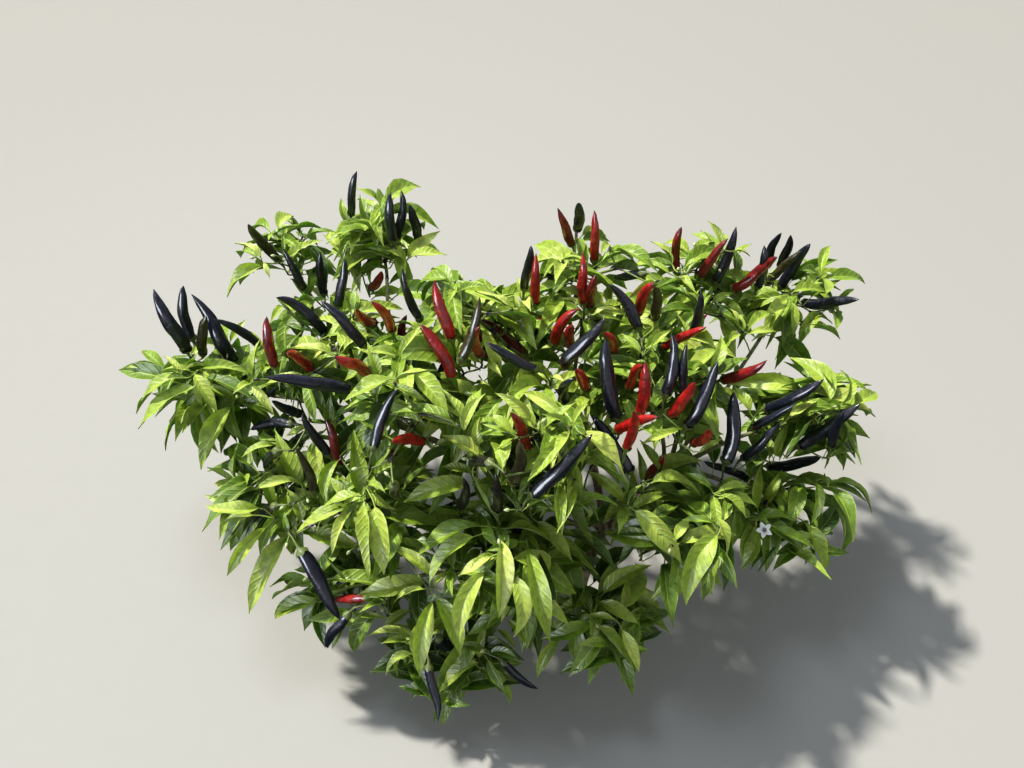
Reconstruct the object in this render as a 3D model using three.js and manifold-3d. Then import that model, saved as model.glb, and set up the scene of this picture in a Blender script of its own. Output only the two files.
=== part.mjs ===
// A chilli pepper plant rooted in level ground: a short woody stem with a root flare, the boughs and limbs that fork
// from it, and the masses of foliage that they carry. Millimetres, +Z up. The origin is at the middle of the flat cut
// at ground level. The crown is wide and low, leans to -X, and its front faces -Y.

import * as THREE from "three";
import { mergeVertices } from "three/addons/utils/BufferGeometryUtils.js";
import Module from "manifold-3d";

// Stem
const STEM_HEIGHT = 165;
const STEM_LEAN = [16, 10];
const STEM_RADIUS = 7.6;
const FORK_RADIUS = 6.3;
const FLARE_RADIUS = 13;
const FLARE_HEIGHT = 26;
const ROOT_RIBS = 5;
const ROOT_RIB_DEPTH = 0.1;

// Boughs, and the limbs that carry the masses
const BOUGH_RADII = [5.2, 4.2];
const OUTER_BOUGH_RADII = [4.2, 3.4];
const LOW_BOUGH_RADII = [4, 3.3];
const BOUGH_SIDES = 8;
const BOUGH_STEPS = 4;
const LIMB_RADII = [3.1, 2.2];
const LIMB_SIDES = 5;
const LIMB_STEPS = 3;
const SWELLING = 0.18;
const SWELLING_LENGTH = 9;
const SOCKET_DEPTH = 14;
const RISE = 0.08;

// Foliage
const LUMPS = 0.15;
const SPHERE_DETAIL = 5;
const MASS_GAP = 8;
const GROUND_CLEARANCE = 14;

// Two solids that meet keep this gap.
const CLEARANCE = 0.35;

// Each bough leaves its parent at a share of the parent's length and ends at a point.
const BOUGHS = [
  { name: "bough_left", parent: "main_stem", at: 0.97, to: [-125, 48, 232], radii: BOUGH_RADII },
  { name: "bough_right", parent: "main_stem", at: 0.9, to: [112, 62, 246], radii: BOUGH_RADII },
  { name: "bough_back", parent: "main_stem", at: 0.99, to: [-34, 128, 292], radii: BOUGH_RADII },
  { name: "bough_front", parent: "main_stem", at: 0.8, to: [-42, -10, 216], radii: LOW_BOUGH_RADII },
  { name: "bough_low_front", parent: "main_stem", at: 0.62, to: [-80, -38, 158], radii: LOW_BOUGH_RADII },
  { name: "bough_far_left", parent: "bough_left", at: 0.95, to: [-268, 92, 268], radii: OUTER_BOUGH_RADII },
];

// Each mass of foliage: its centre, its half sizes, and where along a bough its own limb leaves.
const MASSES = [
  { name: "far_left", centre: [-486, 118, 300], half: [84, 86, 96], bough: "bough_far_left", at: 0.97 },
  { name: "left_back", centre: [-424, 286, 340], half: [68, 70, 88], bough: "bough_far_left", at: 0.9 },
  { name: "back_left", centre: [-294, 296, 402], half: [72, 74, 92], bough: "bough_far_left", at: 0.72 },
  { name: "upper_left", centre: [-338, 128, 378], half: [96, 94, 76], bough: "bough_far_left", at: 0.82 },
  { name: "left_front", centre: [-394, 8, 238], half: [82, 82, 84], bough: "bough_far_left", at: 0.6 },
  { name: "front_left", centre: [-252, -54, 272], half: [100, 92, 84], bough: "bough_left", at: 0.7 },
  { name: "low_left", centre: [-308, -76, 146], half: [78, 62, 76], bough: "bough_low_front", at: 0.97 },
  { name: "front_low", centre: [-182, -130, 96], half: [90, 74, 78], bough: "bough_low_front", at: 0.86 },
  { name: "centre_left", centre: [-204, 20, 402], half: [104, 104, 84], bough: "bough_left", at: 0.84 },
  { name: "crown_top", centre: [-160, 124, 438], half: [98, 96, 84], bough: "bough_back", at: 0.82 },
  { name: "back_centre", centre: [-28, 196, 420], half: [86, 90, 92], bough: "bough_back", at: 0.96 },
  { name: "centre", centre: [-72, -14, 380], half: [106, 102, 82], bough: "bough_front", at: 0.95 },
  { name: "front_centre", centre: [-108, -92, 236], half: [82, 88, 86], bough: "bough_front", at: 0.84 },
  { name: "centre_right", centre: [54, 78, 388], half: [100, 102, 88], bough: "bough_right", at: 0.74 },
  { name: "back_right", centre: [114, 232, 384], half: [86, 88, 84], bough: "bough_right", at: 0.8 },
  { name: "far_back_right", centre: [254, 266, 346], half: [86, 76, 84], bough: "bough_right", at: 0.68 },
  { name: "right", centre: [254, 110, 302], half: [80, 80, 82], bough: "bough_right", at: 0.98 },
  { name: "front_right", centre: [104, -40, 262], half: [90, 90, 84], bough: "bough_right", at: 0.62 },
  { name: "right_low", centre: [252, 26, 192], half: [80, 72, 66], bough: "bough_right", at: 0.9 },
  { name: "low_right", centre: [20, -108, 134], half: [72, 64, 70], bough: "bough_low_front", at: 0.66 },
  { name: "back_low_left", centre: [-318, 236, 218], half: [90, 80, 80], bough: "bough_left", at: 0.76 },
  { name: "back_low", centre: [-128, 276, 262], half: [90, 78, 84], bough: "bough_back", at: 0.7 },
  { name: "back_low_right", centre: [84, 288, 226], half: [92, 76, 80], bough: "bough_back", at: 0.6 },
];

const BARK_COLOURS = { main_stem: 0x77684c, bough: 0x6f6a42, limb: 0x66733a };
const BARK_ROUGHNESS = 0.8;

// Leaves high in the crown are a brighter green than the shaded ones low down.
const SHADE_GREEN = 0x41601f;
const SUN_GREEN = 0x86ae35;
const CROWN_HEIGHTS = [90, 440];
const LEAF_ROUGHNESS = 0.55;

const wasm = await Module();
wasm.setup();

// A closed geometry as a solid that can be cut, without the triangles whose corners fall together.
function solidOf(geometry) {
  const bare = new THREE.BufferGeometry();
  bare.setAttribute("position", geometry.getAttribute("position"));
  bare.setIndex(geometry.getIndex());
  const merged = mergeVertices(bare, 1e-3);
  const index = merged.getIndex().array;
  const kept = [];
  for (let i = 0; i < index.length; i += 3) {
    const [a, b, c] = index.slice(i, i + 3);
    if (a !== b && b !== c && c !== a) kept.push(a, b, c);
  }
  return new wasm.Manifold(
    new wasm.Mesh({
      numProp: 3,
      vertProperties: merged.getAttribute("position").array,
      triVerts: new Uint32Array(kept),
    }),
  );
}

// The largest body of a cut solid, as a geometry.
function geometryOf(solid) {
  const bodies = solid.decompose().sort((a, b) => b.volume() - a.volume());
  const mesh = bodies[0].getMesh();
  const geometry = new THREE.BufferGeometry();
  geometry.setAttribute("position", new THREE.BufferAttribute(mesh.vertProperties, 3));
  geometry.setIndex(new THREE.BufferAttribute(mesh.triVerts, 1));
  geometry.computeVertexNormals();
  return geometry;
}

// A limb is lathed upright round its own profile, then bent along its curve.
function limbGeometry(limb, clearance) {
  const length = limb.curve.getLength();
  const profile = [new THREE.Vector2(0, -clearance)];
  for (const share of limb.shares) {
    const radius = limb.radiusAt(share * length, length) + clearance;
    profile.push(new THREE.Vector2(radius, share * length + clearance * (2 * share - 1)));
  }
  profile.push(new THREE.Vector2(0, length + clearance));
  const geometry = new THREE.LatheGeometry(profile, limb.sides);
  bend(geometry, limb, length);
  return geometry;
}

// Moves each point of an upright lathe to its place beside the curve, which lies in one plane.
function bend(geometry, limb, length) {
  const side = planeNormal(limb.curve);
  const position = geometry.getAttribute("position");
  const point = new THREE.Vector3();
  for (let i = 0; i < position.count; i++) {
    point.fromBufferAttribute(position, i);
    const share = THREE.MathUtils.clamp(point.y / length, 0, 1);
    const along = limb.curve.getTangentAt(share);
    const across = side.clone().cross(along);
    const rib = limb.ribAt(Math.atan2(point.z, point.x), share * length);
    const moved = limb.curve
      .getPointAt(share)
      .addScaledVector(along, point.y - share * length)
      .addScaledVector(side, point.x * rib)
      .addScaledVector(across, point.z * rib);
    position.setXYZ(i, moved.x, moved.y, moved.z);
  }
}

// The normal of the plane that holds a quadratic curve.
function planeNormal(curve) {
  const first = curve.v1.clone().sub(curve.v0);
  const second = curve.v2.clone().sub(curve.v0);
  return first.cross(second).normalize();
}

// A limb's curve leaves its parent partly along the parent's own line, then levels out towards its end.
function limbCurve(parent, at, end) {
  const start = parent.curve.getPointAt(at);
  const span = end.distanceTo(start);
  const middle = start
    .clone()
    .lerp(end, 0.4)
    .addScaledVector(parent.curve.getTangentAt(at), span * 0.12)
    .add(new THREE.Vector3(0, 0, span * RISE));
  return new THREE.QuadraticBezierCurve3(start, middle, end);
}

// A limb with its solid, and the larger solid that it cuts out of what it meets.
function withSolids(limb) {
  return {
    ...limb,
    solid: solidOf(limbGeometry(limb, 0)),
    cutter: solidOf(limbGeometry(limb, CLEARANCE)),
  };
}

function evenShares(steps) {
  return Array.from({ length: steps + 1 }, (_, i) => i / steps);
}

// A radius that is swollen where the limb leaves its parent, then tapers evenly.
function taperedRadius([start, end]) {
  return (distance, length) => {
    const swelling = 1 + SWELLING * Math.exp(-distance / SWELLING_LENGTH);
    return THREE.MathUtils.lerp(start, end, distance / length) * swelling;
  };
}

// The stem: upright at its flat cut, with ribs where the roots run out, leaning as it rises to the fork.
function makeStem() {
  const [leanX, leanY] = STEM_LEAN;
  return withSolids({
    name: "main_stem",
    curve: new THREE.QuadraticBezierCurve3(
      new THREE.Vector3(0, 0, 0),
      new THREE.Vector3(0, 0, STEM_HEIGHT * 0.55),
      new THREE.Vector3(leanX, leanY, STEM_HEIGHT),
    ),
    sides: 2 * ROOT_RIBS,
    shares: [0, 0.04, 0.09, 0.16, 0.28, 0.46, 0.64, 0.82, 1],
    radiusAt: (height) => {
      const flare = (FLARE_RADIUS - STEM_RADIUS) * Math.exp((-2.5 * height) / FLARE_HEIGHT);
      return THREE.MathUtils.lerp(STEM_RADIUS, FORK_RADIUS, height / STEM_HEIGHT) + flare;
    },
    ribAt: (angle, height) =>
      1 + ROOT_RIB_DEPTH * Math.cos(ROOT_RIBS * angle) * Math.exp((-2 * height) / FLARE_HEIGHT),
    colour: BARK_COLOURS.main_stem,
  });
}

function makeBough({ name, parent, at, to, radii }, limbs) {
  return withSolids({
    name,
    curve: limbCurve(limbs.get(parent), at, new THREE.Vector3(...to)),
    sides: BOUGH_SIDES,
    shares: evenShares(BOUGH_STEPS),
    radiusAt: taperedRadius(radii),
    ribAt: () => 1,
    colour: BARK_COLOURS.bough,
  });
}

// The limb of one mass, from its bough to a short socket in the mass's near side.
function makeMassLimb(mass, limbs) {
  const parent = limbs.get(mass.bough);
  const start = parent.curve.getPointAt(mass.at);
  const towards = start.clone().sub(mass.centre).normalize();
  const end = mass.centre.clone().addScaledVector(towards, reachOf(mass, towards) - SOCKET_DEPTH);
  return withSolids({
    name: "limb_" + mass.name,
    curve: limbCurve(parent, mass.at, end),
    sides: LIMB_SIDES,
    shares: evenShares(LIMB_STEPS),
    radiusAt: taperedRadius(LIMB_RADII),
    ribAt: () => 1,
    colour: BARK_COLOURS.limb,
  });
}

// How far a mass stands out of its even ellipsoid in a direction, as a share.
function unevenness(mass, direction) {
  const { x, y, z } = direction;
  const broad = Math.sin(4.2 * x + mass.phase) * Math.cos(3.7 * y - 2 * mass.phase);
  const fine = Math.sin(7.1 * z + 3.3 * x + 3 * mass.phase) * Math.cos(6.3 * y + mass.phase);
  return LUMPS * (broad + 0.7 * fine);
}

// The flat walls that a mass stays behind: one halfway to each neighbour, and one over the ground.
function wallsOf(mass, masses) {
  const walls = [{ normal: new THREE.Vector3(0, 0, -1), distance: mass.centre.z - GROUND_CLEARANCE }];
  for (const other of masses) {
    if (other === mass) continue;
    const normal = other.centre.clone().sub(mass.centre);
    const apart = normal.length();
    const distance = (apart * apart + mass.size ** 2 - other.size ** 2) / (2 * apart) - MASS_GAP / 2;
    walls.push({ normal: normal.divideScalar(apart), distance });
  }
  return walls;
}

// How far a mass reaches from its centre in a direction.
function reachOf(mass, direction) {
  const [x, y, z] = direction.toArray().map((v, i) => v / mass.half[i]);
  let reach = (1 + unevenness(mass, direction)) / Math.hypot(x, y, z);
  for (const wall of mass.walls) {
    const facing = direction.dot(wall.normal);
    if (facing > 0) reach = Math.min(reach, wall.distance / facing);
  }
  return reach;
}

function massGeometry(mass) {
  const geometry = new THREE.OctahedronGeometry(1, SPHERE_DETAIL);
  const position = geometry.getAttribute("position");
  const direction = new THREE.Vector3();
  for (let i = 0; i < position.count; i++) {
    direction.fromBufferAttribute(position, i).normalize();
    const moved = mass.centre.clone().addScaledVector(direction, reachOf(mass, direction));
    position.setXYZ(i, moved.x, moved.y, moved.z);
  }
  return mergeVertices(new THREE.BufferGeometry().setAttribute("position", position), 1e-3);
}

// A mass's green, by how high its middle is in the crown.
function greenAt(height) {
  const [low, high] = CROWN_HEIGHTS;
  const share = THREE.MathUtils.clamp((height - low) / (high - low), 0, 1);
  return new THREE.Color(SHADE_GREEN).lerp(new THREE.Color(SUN_GREEN), share);
}

function makeMesh(name, solid, colour, roughness) {
  const material = new THREE.MeshStandardMaterial({ color: colour, roughness, metalness: 0 });
  const mesh = new THREE.Mesh(geometryOf(solid), material);
  mesh.name = name;
  return mesh;
}

const masses = MASSES.map((mass, i) => ({
  ...mass,
  centre: new THREE.Vector3(...mass.centre),
  size: (mass.half[0] + mass.half[1] + mass.half[2]) / 3,
  phase: 1.7 * (i + 1),
}));
for (const mass of masses) mass.walls = wallsOf(mass, masses);

const limbs = new Map([["main_stem", makeStem()]]);
for (const bough of BOUGHS) limbs.set(bough.name, makeBough(bough, limbs));
for (const mass of masses) limbs.set("limb_" + mass.name, makeMassLimb(mass, limbs));

const plant = new THREE.Group();
plant.name = "chilli_pepper_plant";

// Each limb is cut clear of the ones before it, and each mass clear of every limb.
const cutters = [];
for (const limb of limbs.values()) {
  const left = wasm.Manifold.difference([limb.solid, ...cutters]);
  plant.add(makeMesh(limb.name, left, limb.colour, BARK_ROUGHNESS));
  cutters.push(limb.cutter);
}
for (const mass of masses) {
  const left = wasm.Manifold.difference([solidOf(massGeometry(mass)), ...cutters]);
  plant.add(makeMesh("foliage_" + mass.name, left, greenAt(mass.centre.z), LEAF_ROUGHNESS));
}

export default plant;
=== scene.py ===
"""Looks of the chilli pepper plant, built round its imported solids: bark on the stem and limbs, and in
place of each foliage solid the twigs, leaves, pods and flowers that grow on from its limb. Lengths are in
metres, in the part's own frame."""

import math

import bpy
import numpy as np
from mathutils import Matrix, Vector
from mathutils.bvhtree import BVHTree


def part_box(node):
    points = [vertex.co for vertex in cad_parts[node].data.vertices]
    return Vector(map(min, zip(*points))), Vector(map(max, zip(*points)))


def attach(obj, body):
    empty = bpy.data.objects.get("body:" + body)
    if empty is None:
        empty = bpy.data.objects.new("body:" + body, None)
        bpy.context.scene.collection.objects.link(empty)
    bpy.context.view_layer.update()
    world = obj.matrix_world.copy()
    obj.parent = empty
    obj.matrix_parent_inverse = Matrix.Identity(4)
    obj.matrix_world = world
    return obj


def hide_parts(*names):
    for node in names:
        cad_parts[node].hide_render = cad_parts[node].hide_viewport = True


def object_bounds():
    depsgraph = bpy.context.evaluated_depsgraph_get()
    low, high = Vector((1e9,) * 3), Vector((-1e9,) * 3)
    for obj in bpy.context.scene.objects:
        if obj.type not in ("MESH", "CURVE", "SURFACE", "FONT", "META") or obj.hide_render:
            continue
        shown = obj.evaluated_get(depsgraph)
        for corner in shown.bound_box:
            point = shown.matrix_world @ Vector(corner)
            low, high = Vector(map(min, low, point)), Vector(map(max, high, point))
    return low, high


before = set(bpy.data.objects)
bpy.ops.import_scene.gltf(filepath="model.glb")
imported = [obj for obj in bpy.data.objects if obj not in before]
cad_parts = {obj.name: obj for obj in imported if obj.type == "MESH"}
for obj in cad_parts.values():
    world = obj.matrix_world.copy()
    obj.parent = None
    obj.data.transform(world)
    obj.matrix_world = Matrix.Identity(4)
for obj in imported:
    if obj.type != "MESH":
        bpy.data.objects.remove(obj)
CAD_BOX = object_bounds()
RNG = np.random.default_rng(20)
UP = np.array([0.0, 0.0, 1.0])

# Leaves may reach this far beyond the solids' box, on each side of it.
ROOM = [0.03, 0.024, 0.02]
LOW_BOUND = np.array(CAD_BOX[0]) - ROOM
HIGH_BOUND = np.array(CAD_BOX[1]) + ROOM

# The camera of the photograph: its place, and the way down in its own axes, x right, y down and z ahead.
IMAGE_SIZE = (1024, 768)
FOCAL_PX = 769
CAMERA_PLACE = np.array([-0.1107, -0.5033, 1.04])
GRAVITY_IN_CAMERA = np.array([-0.026, 0.652, 0.757])
SENSOR_MM = 36

# Pods read off the photograph, by mass: ripeness, pixel of the tip, pixel of the stalk end.
PHOTO_PODS = {
    "far_left": [
        ("dark", (154, 292), (187, 351)), ("dark", (183, 286), (193, 340)),
        ("dark", (193, 295), (235, 362)), ("olive", (205, 316), (203, 355)),
        ("dark", (215, 318), (258, 344)),
    ],
    "left_back": [
        ("olive", (247, 224), (280, 262)), ("turning", (283, 249), (304, 290)),
        ("dark", (319, 252), (324, 294)),
    ],
    "back_left": [
        ("dark", (355, 173), (351, 215)), ("dark", (387, 194), (394, 242)),
        ("dark", (403, 191), (397, 240)), ("turning", (410, 205), (418, 238)),
        ("red", (382, 273), (371, 288)),
    ],
    "upper_left": [
        ("dark", (345, 258), (337, 307)), ("dark", (277, 297), (326, 333)),
        ("crimson", (264, 319), (276, 368)), ("red", (287, 352), (311, 370)),
        ("red", (356, 310), (374, 323)), ("dark", (272, 401), (300, 414)), ("dark", (264, 467), (278, 451)),
    ],
    "centre_left": [
        ("dark", (323, 301), (365, 346)), ("dark", (266, 377), (352, 390)), ("red", (335, 357), (369, 377)),
        ("red", (434, 281), (452, 340)), ("red", (422, 324), (453, 379)), ("dark", (396, 388), (373, 450)),
        ("small", (399, 500), (394, 484)), ("red", (392, 442), (424, 442)), ("red", (373, 301), (392, 331)),
        ("olive", (482, 298), (461, 361)), ("red", (475, 327), (481, 355)),
    ],
    "crown_top": [
        ("dark", (400, 269), (421, 321)), ("crimson", (477, 318), (526, 356)),
        ("dark", (531, 246), (524, 290)), ("red", (536, 254), (536, 304)),
    ],
    "centre": [
        ("dark", (486, 344), (538, 370)), ("turning", (605, 319), (561, 368)),
        ("dark", (603, 340), (617, 420)), ("red", (657, 414), (616, 431)), ("red", (637, 409), (626, 450)),
        ("dark", (592, 415), (631, 472)), ("dark", (592, 435), (531, 496)), ("red", (512, 411), (528, 450)),
        ("red", (576, 370), (587, 388)), ("dark", (570, 379), (565, 401)),
        ("small", (496, 475), (498, 511)), ("small", (469, 465), (492, 464)),
        ("small", (467, 481), (460, 507)), ("olive", (521, 442), (513, 483)),
    ],
    "back_centre": [
        ("crimson", (558, 209), (572, 245)), ("dark", (579, 203), (577, 230)),
        ("red", (595, 211), (594, 262)), ("red", (582, 256), (584, 303)),
        ("crimson", (595, 275), (590, 307)), ("red", (574, 307), (554, 344)),
        ("red", (572, 326), (572, 346)), ("dark", (613, 278), (645, 273)),
    ],
    "centre_right": [
        ("dark", (613, 281), (639, 329)), ("red", (651, 281), (638, 314)),
        ("olive", (658, 286), (654, 318)), ("dark", (703, 292), (693, 333)),
        ("red", (706, 327), (662, 348)), ("dark", (675, 334), (665, 396)), ("dark", (686, 344), (684, 398)),
        ("dark", (719, 362), (686, 427)), ("red", (697, 382), (669, 416)), ("red", (605, 333), (615, 351)),
        ("red", (647, 363), (639, 414)), ("red", (642, 364), (628, 388)),
        ("crimson", (767, 365), (722, 380)), ("red", (710, 431), (693, 443)),
    ],
    "back_right": [
        ("crimson", (681, 227), (677, 274)), ("crimson", (727, 238), (699, 278)),
        ("dark", (737, 227), (715, 284)), ("dark", (767, 247), (757, 288)),
        ("crimson", (778, 257), (731, 290)),
    ],
    "far_back_right": [
        ("dark", (781, 233), (767, 267)), ("dark", (791, 235), (780, 267)),
        ("olive", (800, 251), (767, 284)), ("dark", (810, 243), (780, 288)),
        ("dark", (859, 300), (802, 303)),
    ],
    "right": [
        ("dark", (824, 382), (765, 409)), ("turning", (796, 404), (751, 429)),
        ("dark", (860, 404), (798, 447)), ("dark", (843, 412), (831, 447)),
        ("dark", (780, 422), (742, 459)),
    ],
    "right_low": [("dark", (822, 458), (767, 466)), ("dark", (704, 461), (749, 480))],
    "front_right": [("dark", (735, 392), (725, 463)), ("red", (663, 455), (648, 480))],
    "front_left": [
        ("crimson", (326, 419), (343, 466)), ("dark", (340, 619), (300, 550)),
        ("olive", (296, 448), (314, 492)), ("dark", (301, 414), (330, 456)),
    ],
    "left_front": [
        ("dark", (251, 428), (294, 424)), ("dark", (292, 443), (306, 435)),
        ("small", (254, 521), (276, 506)),
    ],
    "low_left": [("red", (332, 600), (369, 597)), ("dark", (325, 648), (349, 613))],
    "front_low": [
        ("dark", (438, 720), (429, 665)), ("dark", (536, 690), (502, 661)),
        ("dark", (448, 648), (437, 637)),
    ],
}

# Leaves read off the photograph, by mass: pixel of the blade's foot, pixel of its tip.
PHOTO_LEAVES = {
    "far_left": [
        ((185, 378), (141, 401)), ((194, 387), (138, 429)), ((195, 375), (218, 413)),
        ((231, 407), (201, 470)), ((203, 368), (249, 373)), ((181, 375), (164, 356)),
    ],
    "left_back": [
        ((261, 258), (235, 243)), ((262, 266), (227, 297)), ((264, 263), (270, 278)),
        ((283, 249), (284, 235)), ((288, 258), (322, 240)),
    ],
    "back_left": [
        ((408, 259), (440, 231)), ((412, 256), (447, 255)), ((386, 269), (354, 279)),
        ((372, 264), (357, 247)),
    ],
    "upper_left": [
        ((253, 376), (260, 339)), ((252, 386), (274, 415)), ((313, 370), (349, 356)),
        ((326, 351), (293, 347)), ((324, 431), (311, 452)),
    ],
    "centre_left": [
        ((378, 378), (367, 342)), ((396, 289), (348, 312)), ((392, 379), (343, 402)),
        ((396, 387), (426, 401)), ((396, 379), (438, 370)), ((343, 318), (372, 324)),
        ((400, 356), (422, 325)), ((343, 417), (371, 433)), ((463, 421), (440, 387)),
        ((464, 430), (485, 394)), ((424, 436), (443, 407)),
    ],
    "crown_top": [
        ((407, 273), (438, 305)), ((510, 306), (475, 291)), ((515, 308), (483, 318)),
        ((519, 308), (515, 294)),
    ],
    "back_centre": [((582, 308), (561, 299)), ((614, 336), (635, 326))],
    "centre_right": [
        ((663, 286), (642, 270)), ((686, 335), (660, 318)), ((652, 346), (671, 330)),
        ((738, 323), (700, 341)), ((678, 431), (641, 444)), ((700, 452), (722, 438)),
    ],
    "back_right": [
        ((672, 263), (651, 241)), ((686, 267), (707, 258)), ((735, 251), (750, 256)),
        ((712, 303), (733, 293)), ((738, 323), (717, 303)),
    ],
    "left_front": [
        ((274, 445), (242, 457)), ((258, 508), (206, 506)), ((252, 515), (224, 521)),
        ((279, 507), (270, 464)), ((265, 528), (227, 576)), ((286, 537), (249, 614)),
        ((301, 520), (287, 489)), ((301, 485), (275, 430)), ((308, 531), (363, 548)),
        ((298, 482), (255, 489)),
    ],
    "front_left": [
        ((359, 491), (354, 430)), ((371, 491), (397, 510)), ((375, 507), (384, 575)),
        ((360, 496), (319, 511)), ((364, 502), (369, 580)), ((347, 511), (332, 554)),
        ((373, 468), (401, 427)), ((430, 574), (388, 546)), ((425, 580), (357, 595)),
        ((423, 589), (394, 602)), ((436, 598), (460, 656)), ((432, 602), (420, 677)),
    ],
    "centre": [
        ((530, 421), (495, 393)), ((479, 446), (480, 417)), ((506, 431), (483, 424)),
        ((493, 355), (468, 373)), ((440, 448), (382, 468)), ((484, 459), (441, 435)),
        ((471, 472), (441, 467)), ((468, 483), (403, 503)), ((473, 476), (492, 512)),
        ((580, 433), (625, 479)), ((541, 509), (606, 515)), ((598, 487), (587, 511)),
    ],
    "front_centre": [
        ((481, 526), (415, 558)), ((473, 537), (429, 585)), ((490, 557), (458, 576)),
        ((501, 541), (499, 618)), ((507, 515), (533, 523)), ((509, 528), (550, 541)),
        ((537, 522), (573, 562)), ((528, 548), (550, 642)), ((513, 576), (514, 637)),
        ((458, 580), (470, 616)), ((484, 572), (460, 643)), ((609, 513), (557, 563)),
    ],
    "front_low": [
        ((410, 611), (382, 632)), ((410, 637), (367, 636)), ((412, 654), (386, 675)),
        ((438, 643), (455, 659)), ((477, 663), (443, 694)), ((497, 630), (515, 648)),
        ((417, 625), (424, 668)),
    ],
    "front_right": [
        ((622, 500), (586, 471)), ((641, 481), (637, 448)), ((650, 476), (703, 461)),
        ((652, 483), (700, 494)), ((633, 507), (667, 495)), ((635, 511), (682, 564)),
        ((659, 518), (691, 572)), ((717, 535), (686, 605)), ((717, 518), (727, 554)),
        ((720, 496), (746, 518)), ((658, 470), (640, 440)),
    ],
    "low_right": [
        ((598, 626), (634, 669)), ((622, 630), (639, 672)), ((600, 602), (639, 624)),
        ((604, 593), (652, 565)), ((559, 639), (537, 678)), ((589, 622), (541, 639)),
    ],
    "right_low": [
        ((763, 506), (782, 469)), ((756, 526), (740, 569)), ((750, 524), (743, 571)),
        ((836, 481), (872, 513)), ((816, 483), (811, 523)), ((776, 528), (814, 547)),
    ],
    "right": [((776, 453), (789, 423)), ((789, 418), (819, 398))],
}

# Leafy shoots with no pods, read off the photograph, by mass: pixel of the middle.
PHOTO_ROSETTES = {
    "left_front": [(275, 518)],
    "front_left": [(366, 487), (429, 587)],
    "front_centre": [(499, 528)],
    "front_right": [(626, 505), (713, 493)],
    "low_right": [(593, 617)],
    "front_low": [(412, 640), (478, 662)],
    "right_low": [(748, 521), (822, 479)],
    "far_left": [(196, 372)],
    "left_back": [(262, 262)],
    "back_left": [(404, 262)],
    "upper_left": [(253, 380)],
    "centre_left": [(394, 382), (463, 425)],
    "crown_top": [(513, 309)],
}

# Round places where the photograph shows no leaves, which seeded leaves keep out of: pixel, radius.
PHOTO_OPEN = [
    ((460, 250), 14), ((482, 256), 15), ((500, 247), 14), ((515, 262), 10), ((470, 272), 9),
    ((496, 276), 9), ((278, 282), 11), ((266, 300), 10), ((284, 268), 7), ((620, 232), 12),
    ((386, 700), 14), ((410, 716), 14), ((432, 738), 12), ((462, 722), 14), ((490, 706), 13),
    ((520, 712), 12), ((572, 692), 12), ((606, 690), 13), ((650, 684), 13), ((664, 652), 12),
    ((700, 618), 13), ((722, 606), 12), ((750, 596), 13), ((776, 586), 12), ((804, 582), 12),
    ((314, 668), 13), ((176, 470), 13),
]

# Pixels of dark leafy places behind the leaves and pods that show.
PHOTO_FILLS = [
    (350, 440), (340, 456), (305, 440), (262, 420), (246, 402), (650, 455), (664, 470), (700, 468),
    (735, 470), (758, 478), (790, 440), (815, 425), (785, 480), (812, 480), (765, 440), (722, 350),
    (740, 345), (440, 458), (460, 470), (575, 450), (590, 470), (620, 565), (600, 590), (640, 560),
    (388, 616), (340, 500), (330, 540), (480, 500), (755, 345), (738, 412), (590, 412), (586, 490),
    (622, 552), (722, 470), (508, 390), (468, 476), (348, 510), (400, 470), (649, 482), (655, 463),
    (668, 458), (748, 462), (766, 468), (486, 406), (470, 400), (560, 512), (545, 500), (597, 447),
    (575, 480), (315, 531), (420, 468), (555, 440), (412, 452), (428, 458), (660, 472), (755, 455),
]

# The one open flower in the photograph.
OPEN_FLOWER_PX = (764, 530)
OPEN_FLOWER_MASS = "right_low"
OPEN_FLOWER_RADIUS = 0.017
OPEN_FLOWER_LIFT = 0.006

# Stem and limbs
STEM_HEIGHT = 0.165
STEM_RADIUS = 0.0076
FORK_RADIUS = 0.0063
FLARE_RADIUS = 0.013
FLARE_HEIGHT = 0.026
FLARE_FADE = 2.5
ROOT_RIBS = 5
ROOT_RIB_DEPTH = 0.1
RIB_FADE = 2
STEM_RIDGES = 15
STEM_RIDGE_DEPTH = 0.035
BOUGH_RIDGE_DEPTH = 0.05
LIMB_RIDGE_DEPTH = 0.04
LIMB_RIDGES = 8
STEM_SIDES = 40
STEM_RINGS = 90
BOUGH_SIDES = 20
BOUGH_RINGS = 36
LIMB_SIDES = 12
LIMB_RINGS = 20
BURIED = 0.004
STEM_CROWN = 0.002
RIM_BEYOND = 0.0012
RIDGE_WAVES = 7
STEM_SEED, BOUGH_SEED, LIMB_SEED = 1, 10, 20

# Twigs
TWIG_SIDES = 8
TWIG_RINGS = 7
TIP_RADIUS = 0.00105
LIMB_END_RADIUS = 0.0022
TWIG_THINNING = 0.33
JOINT_SWELLING = 1.35
TWIG_TAPER = 0.92
FORK_PLACE = 0.42
FORK_SPREAD = 0.1
FORK_LIFT = 0.08
LIMB_WAY_KEPT = 0.4
TWIG_WAY_KEPT = 0.35
JOINT_SHARE = 0.25

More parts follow.
